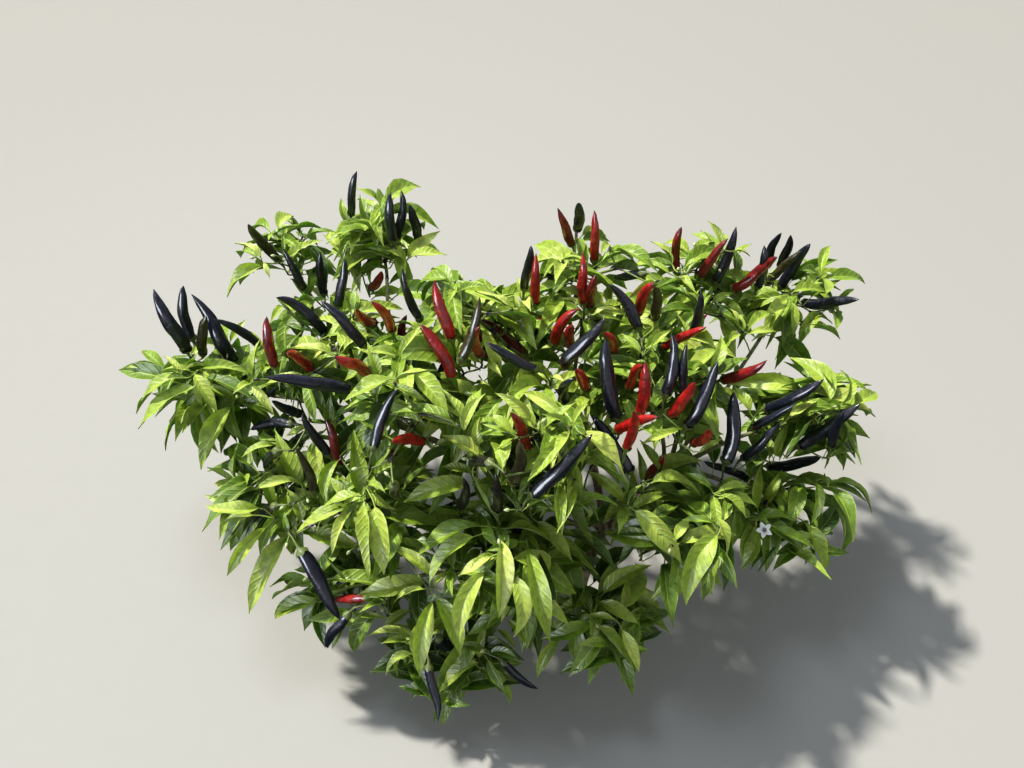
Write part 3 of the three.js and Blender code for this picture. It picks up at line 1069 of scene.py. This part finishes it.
def dress_shoot(mass, shoot):
    """One shoot's leaves, each with its tone: those of the photograph, and seeded ones round its tip."""
    base_tone = MIDDLE_TONE + RNG.normal() * SHOOT_TONE_SPREAD
    # Leaves that show in front are lifted to lighter greens as painted light.
    photo_tone = base_tone + PHOTO_LEAF_PAINTED_LIGHT
    dressed = [(leaf, leaf_tone(mass, leaf.foot, photo_tone)) for leaf in shoot.leaves]
    lengths = SMALL_LEAF_LENGTH if shoot.pods or shoot.tip[2] > SMALL_LEAVES_ABOVE else LEAF_LENGTH
    count = max(leaf_count(shoot) - len(shoot.leaves), 2)
    turn = RNG.uniform(0, math.tau)
    side = across(shoot.axis)
    for i in range(count):
        turn += GOLDEN_TURN
        young = i / max(count - 1, 1)
        around = turned(side, shoot.axis, turn)
        node = shoot.tip - shoot.axis * (1 - young) * LEAVES_DOWN_TWIG
        if shoot.inner:
            leaf = seeded_leaf(mass, node, around, shoot.axis, young * INNER_YOUTH, rings=INNER_LEAF_RINGS)
        else:
            leaf = seeded_leaf(mass, node, around, shoot.axis, young, lengths)
        if leaf:
            dressed.append((leaf, leaf_tone(mass, leaf.foot, base_tone + YOUNG_LEAF_LIFT * young)))
    return dressed


def seeded_leaf(
    mass, node, around, axis, young, lengths=LEAF_LENGTH, overhang=OVERHANG, rings=LEAF_RINGS
):
    """One leaf beside a shoot, where it fits. Old leaves, young 0, are long and hang. Young ones, young 1,
    are short and stand."""
    length = np.interp(young, [0, 1], lengths[::-1]) * between(LEAF_SIZES)
    lift = np.interp(young, [0, 1], OLD_AND_YOUNG_LIFT)
    for _ in range(LEAF_TRIES):
        foot = node + unit(around + axis * lift) * length * between(LEAF_FOOT)
        level = unit(around * [1, 1, 0.3])
        slope = np.interp(young, [0, 1], OLD_AND_YOUNG_SLOPE) + RNG.normal() * SLOPE_SPREAD
        tip = foot + (level * math.cos(slope) + UP * math.sin(slope)) * length
        if mass.depth(tip) > -overhang:
            leaf = Leaf(node, foot, tip, around, rings=rings)
            if leaf.fits():
                return leaf
        length *= RETRY_SIZE
        around = turned(around, axis, RNG.normal() * RETRY_TURN)
    return None


def dress_shoots(lofts, mass):
    """The leaves of a mass's shoots. A shoot with no pod and room for only a few leaves is left out."""
    dressed = [(shoot, dress_shoot(mass, shoot)) for shoot in mass.shoots]
    dressed = [(shoot, grown) for shoot, grown in dressed if len(grown) >= FEWEST_LEAVES or shoot.pods]
    mass.shoots = [shoot for shoot, _ in dressed]
    for _, grown in dressed:
        for leaf, tone in grown:
            leaf.add_to(lofts, tone)


def dress_forks(lofts, mass, forks):
    """An old leaf at each fork of a mass's twigs."""
    for fork, heading in forks:
        around = turned(across(heading), heading, RNG.uniform(0, math.tau))
        leaf = seeded_leaf(mass, fork, around, heading, between(OLD_LEAVES))
        if leaf:
            # Its low green is partly its age, partly painted shade inside the crown.
            leaf.add_to(lofts, leaf_tone(mass, leaf.foot, FORK_LEAF_TONE))


def dress_limb(lofts, mass, at):
    """Old leaves along the outer part of a limb, inside the crown, dark partly by age and partly as painted
    shade.
    """
    turn = RNG.uniform(0, math.tau)
    for t in LIMB_LEAF_PLACES:
        node, ahead = at([t, t + 0.02])
        axis = unit(ahead - node)
        turn += GOLDEN_TURN
        around = turned(across(axis), axis, turn)
        lean = unit(axis + UP * 0.5)
        leaf = seeded_leaf(mass, node, around, lean, between(OLD_LEAVES), overhang=LIMB_LEAF_OVERHANG)
        if leaf:
            # Low green: partly age, partly painted shade inside the crown.
            leaf.add_to(lofts, leaf_tone(mass, leaf.foot, LIMB_LEAF_TONE))


def within(places, points, margin):
    """Which of the places lie in the points' box, with a margin round it."""
    low, high = points.min(axis=0) - margin, points.max(axis=0) + margin
    return np.all((places > low) & (places < high), axis=1)


class Shapes:
    """Sample points of shapes, with a radius at each, to keep other shapes clear of them."""

    def __init__(self):
        self.shapes = []

    def add(self, points, radius):
        self.shapes.append((points, np.full(len(points), radius)))

    def settle(self):
        """Takes up the shapes added so far, so that the tests know them."""
        self.points = np.concatenate([points for points, _ in self.shapes])
        self.radii = np.concatenate([radii for _, radii in self.shapes])
        self.pixels, self.depths = project(self.points)
        self.pixel_radii = self.radii / self.depths * FOCAL_PX

    def cut(self, points):
        """Whether any of the points is inside a shape."""
        close = within(self.points, points, self.radii.max())
        gaps = np.linalg.norm(points[:, None] - self.points[close], axis=2)
        return bool(np.any(gaps < self.radii[close]))

    def hidden_by(self, points):
        """Whether any of the points stands before a shape in the camera's view."""
        pixels, depths = project(points)
        close = within(self.pixels, pixels, self.pixel_radii.max())
        gaps = np.linalg.norm(pixels[:, None] - self.pixels[close], axis=2)
        before = depths[:, None] < self.depths[close] - SEEN_GAP
        return bool(np.any((gaps < self.pixel_radii[close]) & before))


# Pods

DARK, BLACK, OLIVE, MAROON, CRIMSON, RED, SCARLET, ORANGE = range(8)
# The skins of each ripeness, as even bands from the stalk to the tip.
POD_BANDS = {
    "dark": [DARK],
    "small": [BLACK],
    "olive": [OLIVE],
    "turning": [ORANGE, SCARLET, CRIMSON, MAROON, BLACK, BLACK] + [DARK] * 12,
    "maroon": [CRIMSON, MAROON, MAROON, MAROON],
    "crimson": [RED, CRIMSON, CRIMSON, CRIMSON, CRIMSON, MAROON],
    "red": [RED, RED, RED, RED, RED, CRIMSON],
    "scarlet": [SCARLET],
}
HIDDEN_RIPENESS = ["dark", "dark", "dark", "olive", "turning", "maroon", "crimson", "red", "red", "scarlet"]


def pod_profile(share, taper):
    """A pod's radius along it, as a share of the widest: round shoulders, an even body and a slim point."""
    shoulder = np.interp(share, [0, 0.017, 0.05, 0.12, 0.28], [0.34, 0.6, 0.77, 0.9, 1.0])
    end = np.clip((share - 0.15) / 0.85, 0, 1)
    return shoulder * np.maximum((1 - end**taper) ** 0.7, 0.1)


class Pod:
    """A pod: a bowed and dented body on a stalk that thickens into a toothed cup."""

    def __init__(self, node, base, tip, ripeness):
        self.node, self.base = node, base
        self.ripeness = ripeness
        chord = tip - base
        length = np.linalg.norm(chord)
        self.along = chord / length
        self.radius = length * between(POD_SLIMNESS)
        bow = turned(across(self.along), self.along, RNG.uniform(0, math.tau)) * length
        sway = turned(bow, self.along, RNG.uniform(1, 2))
        even = np.linspace(0, 1, POD_RINGS)
        share = even - POD_CROWDING * np.sin(math.tau * even)
        column = share[:, None]
        arc = between(POD_BOW) * np.sin(math.pi * column)
        arc -= abs(RNG.normal()) * POD_HOOK * column**5
        self.path = base + chord * column + bow * arc
        self.path += sway * RNG.normal() * POD_SWAY * np.sin(math.tau * column)
        self.radii = pod_profile(share, between(POD_TAPER)) * self.radius

    def add_to(self, pods, stalks):
        """Adds the body, in bands of colour with ragged edges, and the stalk."""
        phase = RNG.uniform(0, math.tau, 3)

        def relief(angle, place):
            lobes = 0.05 * np.sin(2 * angle + phase[0] + 3 * place)
            dents = 0.07 * np.sin(19 * place + phase[1]) * np.sin(angle + phase[2])
            creases = 0.055 * np.sin(13 * place + phase[2]) * np.sin(3 * angle + phase[1])
            wrinkles = 0.03 * np.sin(41 * place + phase[0]) * np.sin(4 * angle + phase[2] + 5 * place)
            return 1 + lobes + dents + creases + wrinkles

        rings = tube_rings(self.path, self.radii, POD_SIDES, relief)
        bands = np.array(POD_BANDS[self.ripeness])
        angle = np.arange(POD_SIDES) * math.tau / POD_SIDES
        ragged = 0.03 * np.sin(2 * angle + phase[0]) + 0.02 * np.sin(5 * angle + phase[1])
        place = (np.linspace(0, 1, POD_RINGS + 1)[:, None] + ragged) * len(bands)
        slots = bands[np.clip(place.astype(int), 0, len(bands) - 1)]
        first = self.path[0] - self.along * POD_ENDS[0]
        last = self.path[-1] + self.along * POD_ENDS[1]
        pods.add(rings, first, last, slots)
        start = unit(self.path[1] - self.path[0])
        dark = self.ripeness in ("dark", "small", "olive")
        slot = SLOT_DARK_STALK if dark else SLOT_GREEN_STALK
        add_stalk(stalks, self.node, self.base, start, self.radius, slot)

    def samples(self):
        return self.path[2::3]


def add_stalk(stalks, node, base, along, radius, slot):
    """A pod's stalk, which thickens into a toothed cup over the pod's shoulders."""
    stalk = curve(node, unit(UP * 0.6 + along), along, base - along * 0.003, len(STALK_RADII))
    path = np.concatenate([stalk, base + along * CUP_STEPS[:, None]])
    radii = np.concatenate([STALK_RADII, CUP_SWELL * radius + CUP_SKIN])
    side = across(along)
    other = np.cross(along, side)
    spoke = np.arange(CUP_SIDES)
    angle = spoke * math.tau / CUP_SIDES
    spokes = side * np.cos(angle)[:, None] + other * np.sin(angle)[:, None]
    rings = path[:, None] + spokes[None] * radii[:, None, None]
    teeth = np.where(spoke % 2 == 0, *CUP_TEETH)
    rings[len(STALK_RADII) + CUP_RIM] += along * teeth[:, None]
    stalks.add(rings, path[0], path[-1], slot)


def behind_leaves(points):
    """Whether each of the points lies well behind the skin of some mass, as the camera sees it."""
    for point in points:
        reach = np.linalg.norm(point - CAMERA_PLACE)
        way = Vector((point - CAMERA_PLACE) / reach)
        hits = [m.tree.ray_cast(Vector(CAMERA_PLACE), way, reach - HIDING_DEPTH)[0] for m in masses]
        if all(hit is None for hit in hits):
            return False
    return True


def seeded_pods(mass, shoot, count):
    """Pods that stand up round a shoot's tip, inside the mass, where the photograph can't show them."""
    for _ in range(count):
        lean = unit(shoot.axis + UP * SEEDED_POD_RISE + RNG.normal(size=3) * SEEDED_POD_SPREAD)
        base = shoot.tip + unit(lean + RNG.normal(size=3) * 0.15) * POD_STALK
        length = between(POD_LENGTH)
        while mass.depth(base + lean * length) < -POD_OVERHANG and length > SHORTEST_POD:
            length *= RETRY_SIZE
        tip = base + lean * length
        line = np.linspace(base, tip, 6)
        clear = not shown.hidden_by(line) and not pods_here.cut(line)
        if mass.depth(tip) > -POD_OVERHANG and clear and behind_leaves(line):
            yield Pod(shoot.tip, base, tip, RNG.choice(HIDDEN_RIPENESS))


# Flowers and buds


def add_petal(lofts, centre, axis, heading):
    """A pointed petal: a thin closed blade that curls back a little."""
    steps = np.linspace(0, 1, PETAL_RINGS)
    half = np.sin(math.pi * (0.12 + 0.86 * steps)) ** 0.8 * PETAL_WIDTH / 2
    half[-1] = 0.0002
    side = np.cross(axis, heading)
    rise = 0.25 * PETAL_LENGTH * (steps - steps**2 * 1.2)
    path = centre + heading * (steps * PETAL_LENGTH)[:, None] + axis * rise[:, None]
    u = np.array([-1, 0, 1, 0])
    under = np.array([0, 0, 0, PETAL_THICKNESS])
    rings = (
        path[:, None]
        + side * (half[:, None] * u)[..., None]
        - axis * (under + 0.25 * half[:, None] * u**2)[..., None]
    )
    lofts.add(rings, path[0], path[-1] + heading * PETAL_POINT, SLOT_PETAL)


def add_flower(flowers, stalks, node, place, axis):
    """An open white flower: petals round dark anthers, on a stalk that widens under them."""
    side = across(axis)
    for i in range(PETALS):
        heading = turned(side, axis, i * math.tau / PETALS + 0.2)
        add_petal(flowers, place, axis, unit(heading + axis * 0.25))
        anther = place + heading * 0.0018 + axis * 0.0012
        path = np.linspace(anther, anther + axis * ANTHER_LENGTH, len(ANTHER_RADII))
        add_tube(flowers, path, ANTHER_RADII, THIN_SIDES, SLOT_ANTHER)
    path = curve(node, unit(UP + axis), axis, place - axis * 0.001, len(FLOWER_STALK_RADII))
    rings = tube_rings(path, FLOWER_STALK_RADII, TWIG_SIDES)
    stalks.add(rings, path[0], path[-1] + axis * 0.001, SLOT_GREEN_STALK)


def add_bud(flowers, stalks, node, axis):
    """A closed bud on a short nodding stalk."""
    end = node + axis * BUD_STALK
    path = curve(node, axis, unit(axis * [1, 1, -0.2] + 1e-3), end, BUD_STALK_RINGS)
    add_tube(stalks, path, [BUD_STALK_RADIUS] * BUD_STALK_RINGS, THIN_SIDES, SLOT_GREEN_STALK)
    way = unit(path[-1] - path[-2])
    bud = end + way * np.linspace(0, BUD_LENGTH, len(BUD_RADII))[:, None]
    add_tube(flowers, bud, BUD_RADII, TWIG_SIDES, SLOT_BUD)


# Materials


def feed(tree, value, socket):
    """Sets an input of a shader node, or links it where the value is another node's output."""
    if isinstance(value, bpy.types.NodeSocket):
        tree.links.new(value, socket)
    else:
        socket.default_value = value


def add_node(tree, kind, **inputs):
    """A shader node, with what its named inputs are fed. An underscore stands for a space."""
    node = tree.nodes.new("ShaderNode" + kind)
    for name, value in inputs.items():
        feed(tree, value, node.inputs[name.replace("_", " ")])
    return node


def new_material(name, colour, roughness, **inputs):
    """A material, its node tree and its shader, with what else the shader's inputs are fed."""
    material = bpy.data.materials.new(name)
    material.use_nodes = True
    tree = material.node_tree
    shader = tree.nodes["Principled BSDF"]
    inputs = {"Base Color": (*colour, 1), "Roughness": roughness, **inputs}
    for socket, value in inputs.items():
        feed(tree, value, shader.inputs[socket.replace("_", " ")])
    return material, tree, shader


def add_noise(tree, scale, detail=3.0, stretch=(1, 1, 1)):
    """A noise that is fixed to the part."""
    place = add_node(tree, "TexCoord").outputs["Object"]
    place = add_node(tree, "Mapping", Vector=place, Scale=stretch).outputs["Vector"]
    return add_node(tree, "TexNoise", Vector=place, Scale=scale, Detail=detail).outputs["Fac"]


def add_bump(tree, shader, height, strength, distance):
    """Adds a bump, on top of one that the shader has already."""
    bump = add_node(tree, "Bump", Strength=strength, Distance=distance, Height=height)
    for link in shader.inputs["Normal"].links:
        feed(tree, link.from_socket, bump.inputs["Normal"])
    feed(tree, bump.outputs["Normal"], shader.inputs["Normal"])


def add_shades(tree, shader, noise, dark, light):
    """Varies the base colour with a noise, between two shades."""
    ramp = add_node(tree, "ValToRGB", Fac=noise)
    for stop, place, shade in zip(ramp.color_ramp.elements, SHADE_STOPS, (dark, light)):
        stop.position = place
        stop.color = (*shade, 1)
    feed(tree, ramp.outputs["Color"], shader.inputs["Base Color"])


def add_rough_range(tree, shader, noise, low, high):
    """Varies the roughness with a noise."""
    spread = add_node(tree, "MapRange", Value=noise, To_Min=low, To_Max=high)
    feed(tree, spread.outputs["Result"], shader.inputs["Roughness"])


def side_veins(tree):
    """A height for the side veins of a blade, from how far along and across it a point is."""
    marks = add_node(tree, "UVMap")
    marks.uv_map = BLADE_MARKS
    parts = add_node(tree, "SeparateXYZ", Vector=marks.outputs["UV"])

    def maths(operation, *values):
        node = add_node(tree, "Math")
        node.operation = operation
        for value, socket in zip(values, node.inputs):
            feed(tree, value, socket)
        return node.outputs["Value"]

    outward = maths("ABSOLUTE", parts.outputs["Y"])
    along = maths("ADD", parts.outputs["X"], maths("MULTIPLY", outward, -VEIN_SLANT))
    crest = maths("SINE", maths("MULTIPLY", along, SIDE_VEINS * math.tau))
    return maths("POWER", maths("ADD", maths("MULTIPLY", crest, 0.5), 0.5), VEIN_SHARPNESS)


def leaf_material(name, colour, roughness):
    """A leaf's thin, satin surface, with shades and side veins. A little light goes through it."""
    material, tree, shader = new_material(
        name, colour, roughness, Coat_Weight=0.06, Coat_Roughness=0.3,
        Subsurface_Weight=0.4, Subsurface_Radius=(0.7, 1.0, 0.25), Subsurface_Scale=0.0012,
    )
    colour = np.array(colour)
    add_rough_range(tree, shader, add_noise(tree, 60), roughness - 0.07, roughness + 0.1)
    add_shades(tree, shader, add_noise(tree, 130, 4.0), 0.78 * colour, 1.16 * colour)
    add_bump(tree, shader, side_veins(tree), 0.5, 0.0007)
    add_bump(tree, shader, add_noise(tree, 230, 2.0), 0.4, 0.001)
    return material


def skin_material(name, colour, roughness=0.43):
    """The glossy skin of a pod."""
    material, tree, shader = new_material(
        name, colour, roughness, Coat_Weight=1.0, Coat_Roughness=0.16, Specular_IOR_Level=0.3
    )
    colour = np.array(colour)
    add_rough_range(tree, shader, add_noise(tree, 90), roughness - 0.08, roughness + 0.08)
    add_shades(tree, shader, add_noise(tree, 110, 5.0), 0.5 * colour, 1.3 * colour)
    add_bump(tree, shader, add_noise(tree, 180, 3.0), 1.0, 0.0017)
    return material


def bark_material(name, dark, light, roughness):
    """Bark with dark and light streaks that run up it."""
    material, tree, shader = new_material(name, light, roughness)
    noise = add_noise(tree, 240, 6.0, (1, 1, 0.22))
    add_shades(tree, shader, noise, dark, light)
    add_bump(tree, shader, noise, 0.6, 0.0006)
    return material


def plain_material(name, colour, roughness, bump_scale=150):
    """One colour, with a slightly uneven surface."""
    material, tree, shader = new_material(name, colour, roughness)
    noise = add_noise(tree, bump_scale)
    add_rough_range(tree, shader, noise, roughness - 0.08, roughness + 0.08)
    add_bump(tree, shader, noise, 0.15, 0.0003)
    return material


# Blade greens, from the darkest to the lightest. Besides the leaves' own greens, the dark end holds painted
# shade and the light end painted light.
BLADE_GREENS = [
    (0.05, 0.096, 0.014),
    (0.085, 0.152, 0.018),
    (0.138, 0.225, 0.024),
    (0.21, 0.318, 0.034),
    (0.3, 0.405, 0.055),
    (0.395, 0.495, 0.088),
    (0.49, 0.575, 0.135),
]

# Skins of the pods, in the order of their slots
SKINS = {
    # The pods' own violet-black, pushed to blue as painted sky reflection.
    "pod_violet_black": (0.011, 0.013, 0.031),
    "pod_black": (0.014, 0.01, 0.013),
    "pod_olive_black": (0.05, 0.042, 0.016),
    "pod_maroon": (0.09, 0.008, 0.014),
    "pod_crimson": (0.23, 0.009, 0.014),
    "pod_red": (0.4, 0.011, 0.012),
    "pod_scarlet": (0.52, 0.025, 0.012),
    "pod_orange": (0.6, 0.12, 0.016),
}


def leaf_materials():
    """The materials of the leaves, in the order of their slots."""
    tones = [leaf_material(f"leaf_green_{i}", c, 0.42) for i, c in enumerate(BLADE_GREENS)]
    vein = plain_material("leaf_vein", (0.34, 0.45, 0.1), 0.5)
    under = leaf_material("leaf_underside", (0.22, 0.32, 0.07), 0.6)
    return [vein, under, *tones]


# Building


def build_wood():
    """The stem, boughs and limbs. Returns the middle line of each mass's limb, by the mass's name."""
    wood = Lofts()
    fork = stem_loft(wood)
    boughs = [node for node in sorted(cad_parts) if node.startswith("bough_")]
    for i, node in enumerate(boughs):
        points = node_points(node)
        far = points[np.argmax(np.linalg.norm(points - fork, axis=1))]
        limb_loft(wood, node, far, BOUGH_RINGS, BOUGH_SIDES, BOUGH_RIDGE_DEPTH, BOUGH_SEED + i)
    bark = bark_material("bark", (0.1, 0.075, 0.045), (0.32, 0.27, 0.17), 0.85)
    wood.piece("stem_and_boughs", [bark], "bark", ["main_stem", *boughs])

    green = Lofts()
    limbs = ["limb_" + mass.name for mass in masses]
    lines = {}
    for i, (node, mass) in enumerate(zip(limbs, masses)):
        line = limb_loft(
            green, node, mass.centre, LIMB_RINGS, LIMB_SIDES, LIMB_RIDGE_DEPTH, LIMB_SEED + i
        )
        lines[mass.name] = line
    green_bark = bark_material("green_bark", (0.13, 0.13, 0.05), (0.27, 0.3, 0.12), 0.7)
    green.piece("limbs", [green_bark], "green_bark", limbs)
    return lines


def plan_from_photo():
    """Places what the photograph shows: the flower, the open places, the pods and the leaves."""
    shown.add(flower_place()[None], OPEN_FLOWER_RADIUS)
    for pixel, radius in PHOTO_OPEN:
        beyond = CAMERA_PLACE + pixel_ray(pixel) * BEYOND
        shown.add(beyond[None], radius * metres_per_pixel(beyond))
    shown_pods = Shapes()
    for mass in masses:
        mass.shoots = photo_shoots(mass)
        for shoot in mass.shoots:
            shoot.pods = [Pod(shoot.tip, base, tip, ripeness) for ripeness, base, tip in shoot.pods]
            for pod in shoot.pods:
                shown.add(pod.path[4:], pod.radius)
                shown_pods.add(pod.path[4:], pod.radius)
                pods_here.add(pod.samples(), pod.radius)
    shown_pods.settle()
    for mass in masses:
        for shoot in mass.shoots:
            shoot.leaves = [leaf_from_photo(mass, shoot, *ends, shown_pods) for ends in shoot.leaves]
            for leaf in shoot.leaves:
                shown.add(leaf.midline(), leaf.width * LEAF_SHOWN)
    shown.settle()
    pods_here.settle()


def plan_crown():
    """Places the shoots and pods, those of the photograph first."""
    plan_from_photo()
    tips = [shoot.tip for mass in masses for shoot in mass.shoots]
    for mass in masses:
        litres = float(np.prod(mass.size)) * 1000 * math.pi / 6
        wanted = max(round(litres * SHOOTS_PER_LITRE) - len(mass.shoots), FEWEST_SHOOTS)
        mass.shoots += seeded_shoots(mass, tips, wanted, OUTER_SHOOT_REACH)
        for shoot in mass.shoots:
            if shoot.from_photo:
                continue
            count = int(RNG.integers(0, MOST_SEEDED_PODS, endpoint=True))
            shoot.pods = list(seeded_pods(mass, shoot, count))
            for pod in shoot.pods:
                pods_here.add(pod.samples(), pod.radius)
        inner = seeded_shoots(mass, tips, INNER_SHOOTS, INNER_SHOOT_REACH)
        for shoot in inner:
            shoot.inner = True
        mass.shoots += inner
    for pixel in PHOTO_FILLS:
        add_fill(pixel)
    pods_here.settle()


def build_crown(lines):
    """Twigs, leaves, pods and flowers of every mass, each kind joined. The leaves are in groups from left
    to right."""
    twigs, pods, stalks, flowers = Lofts(), Lofts(), Lofts(), Lofts()
    leaf_lofts = [Lofts() for _ in range(len(LEAF_GROUP_EDGES) + 1)]
    leaf_nodes = [[] for _ in leaf_lofts]
    for mass in masses:
        group = int(np.searchsorted(LEAF_GROUP_EDGES, mass.centre[0]))
        leaf_nodes[group].append(mass.node)
        leaves = leaf_lofts[group]
        dress_shoots(leaves, mass)
        at = lines[mass.name]
        end, before = at([1, 0.95])
        forks = []
        grow(twigs, end, unit(end - before), mass.shoots, forks)
        dress_forks(leaves, mass, forks)
        dress_limb(leaves, mass, at)
        add_pods_and_buds(mass, pods, stalks, flowers)
    add_open_flower(flowers, stalks)

    materials = leaf_materials()
    for i, (lofts, nodes) in enumerate(zip(leaf_lofts, leaf_nodes)):
        lofts.piece(f"leaves_{i + 1}", materials, "foliage", nodes, BLADE_CREASE)
    make_joined_pieces(twigs, pods, stalks, flowers)


def make_joined_pieces(twigs, pods, stalks, flowers):
    """Makes the pieces that stand for every mass."""
    nodes = [mass.node for mass in masses]
    twig = bark_material("twig_green", (0.12, 0.17, 0.045), (0.23, 0.3, 0.09), 0.6)
    joint = plain_material("twig_joint", (0.035, 0.02, 0.04), 0.5)
    twigs.piece("twigs", [twig, joint], "green_bark", nodes)
    skins = [skin_material(name, colour) for name, colour in SKINS.items()]
    pods.piece("pods", skins, "pods", nodes)
    stalk = plain_material("stalk_green", (0.16, 0.26, 0.05), 0.5)
    dark_stalk = plain_material("stalk_dark", (0.12, 0.155, 0.045), 0.45)
    stalks.piece("pod_stalks", [stalk, dark_stalk], "foliage", nodes, CUP_CREASE)
    petal = plain_material("petal_white", (0.85, 0.86, 0.82), 0.6)
    anther = plain_material("anther", (0.09, 0.07, 0.16), 0.6)
    bud = plain_material("bud", (0.45, 0.5, 0.28), 0.55)
    flowers.piece("flowers_and_buds", [petal, anther, bud], "foliage", nodes, CUP_CREASE)


def add_pods_and_buds(mass, pods, stalks, flowers):
    """The pods of a mass, and a bud on some of its outer shoots."""
    for shoot in mass.shoots:
        for pod in shoot.pods:
            pod.add_to(pods, stalks)
        if not shoot.inner and RNG.random() < BUD_CHANCE:
            way = unit(shoot.axis + RNG.normal(size=3) * BUD_SPREAD)
            add_bud(flowers, stalks, shoot.tip, way)


def flower_mass():
    return next(mass for mass in masses if mass.name == OPEN_FLOWER_MASS)


def flower_place():
    """Where the one open flower in the photograph is, just off its mass's skin."""
    ray = pixel_ray(OPEN_FLOWER_PX)
    return flower_mass().entry(CAMERA_PLACE, ray) - ray * OPEN_FLOWER_LIFT


def add_open_flower(flowers, stalks):
    """The open flower, on the shoot nearest to it, turned towards the camera."""
    place = flower_place()
    shoot = min(flower_mass().shoots, key=lambda s: np.linalg.norm(s.tip - place))
    add_flower(flowers, stalks, shoot.tip, place, unit(unit(CAMERA_PLACE - place) + [0.25, 0, 0.1]))


# Stage


def build_stage():
    """A floor, a sky, and three lights: a warm sun, a soft light above and one that glints on the skins."""
    mesh = bpy.data.meshes.new("floor")
    ends = (-FLOOR_REACH, FLOOR_REACH)
    mesh.from_pydata([(x, y, 0) for x in ends for y in ends], [], [(0, 2, 3, 1)])
    mesh.materials.append(plain_material("floor_paint", (0.36, 0.36, 0.345), 0.9, 40))
    floor = bpy.data.objects.new("floor", mesh)
    bpy.context.scene.collection.objects.link(floor)
    floor.visible_glossy = False

    build_sky()
    sun = add_light("key", "SUN", (-1.2, 0.85, 1.9), 4.7, (1, 0.95, 0.86))
    sun.angle = 0.05
    sky = add_light("sky", "AREA", (-0.5, 0.3, 1.9), 9, (0.8, 0.89, 1))
    sky.shape = "DISK"
    sky.size = 0.5
    front = add_light("front", "AREA", (-1.45, -1.35, 0.95), 44, (0.84, 0.91, 1), diffuse=False)
    front.shape = "RECTANGLE"
    front.size = 1.3
    front.size_y = 0.7


def build_sky():
    """A pale world, brightest near the horizon and dark below it, for glossy skins to reflect."""
    world = bpy.data.worlds.new("studio")
    world.use_nodes = True
    tree = world.node_tree
    place = add_node(tree, "TexCoord").outputs["Generated"]
    parts = add_node(tree, "SeparateXYZ", Vector=place)
    height = add_node(tree, "MapRange", Value=parts.outputs["Z"], From_Min=-1)
    ramp = add_node(tree, "ValToRGB", Fac=height.outputs["Result"])
    stops = ramp.color_ramp.elements
    stops.remove(stops[1])
    for i, (position, strength) in enumerate(SKY_STOPS):
        stop = stops.new(position) if i else stops[0]
        stop.position = position
        stop.color = (*(strength * np.array(SKY_TINT)), 1)
    feed(tree, ramp.outputs["Color"], tree.nodes["Background"].inputs["Color"])
    bpy.context.scene.world = world


def add_light(name, kind, place, power, colour, diffuse=True):
    """A light that shines from its place towards the middle of the plant."""
    light = bpy.data.lights.new(name, kind)
    light.energy = power
    light.color = colour
    lamp = bpy.data.objects.new(name, light)
    lamp.location = place
    lamp.visible_camera = False
    lamp.visible_diffuse = diffuse
    aim = Vector(LIGHT_AIM) - lamp.location
    lamp.rotation_euler = aim.to_track_quat("-Z", "Y").to_euler()
    bpy.context.scene.collection.objects.link(lamp)
    return light


def build_camera():
    """The photograph's camera. Blender's looks along its own -Z, with +Y up."""
    data = bpy.data.cameras.new("camera")
    data.sensor_width = SENSOR_MM
    data.lens = FOCAL_PX / IMAGE_SIZE[0] * SENSOR_MM
    camera = bpy.data.objects.new("camera", data)
    right, down, ahead = CAMERA_AXES
    turn = Matrix(np.array([right, -down, -ahead]).T.tolist())
    camera.matrix_world = Matrix.Translation(Vector(CAMERA_PLACE)) @ turn.to_4x4()
    bpy.context.scene.collection.objects.link(camera)
    bpy.context.scene.camera = camera


masses = [Mass(node) for node in sorted(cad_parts) if node.startswith("foliage_")]
shown, pods_here = Shapes(), Shapes()
plan_crown()
build_crown(build_wood())
build_stage()
build_camera()
bpy.context.scene.view_settings.view_transform = "Standard"
bpy.context.scene.view_settings.look = "Medium High Contrast"
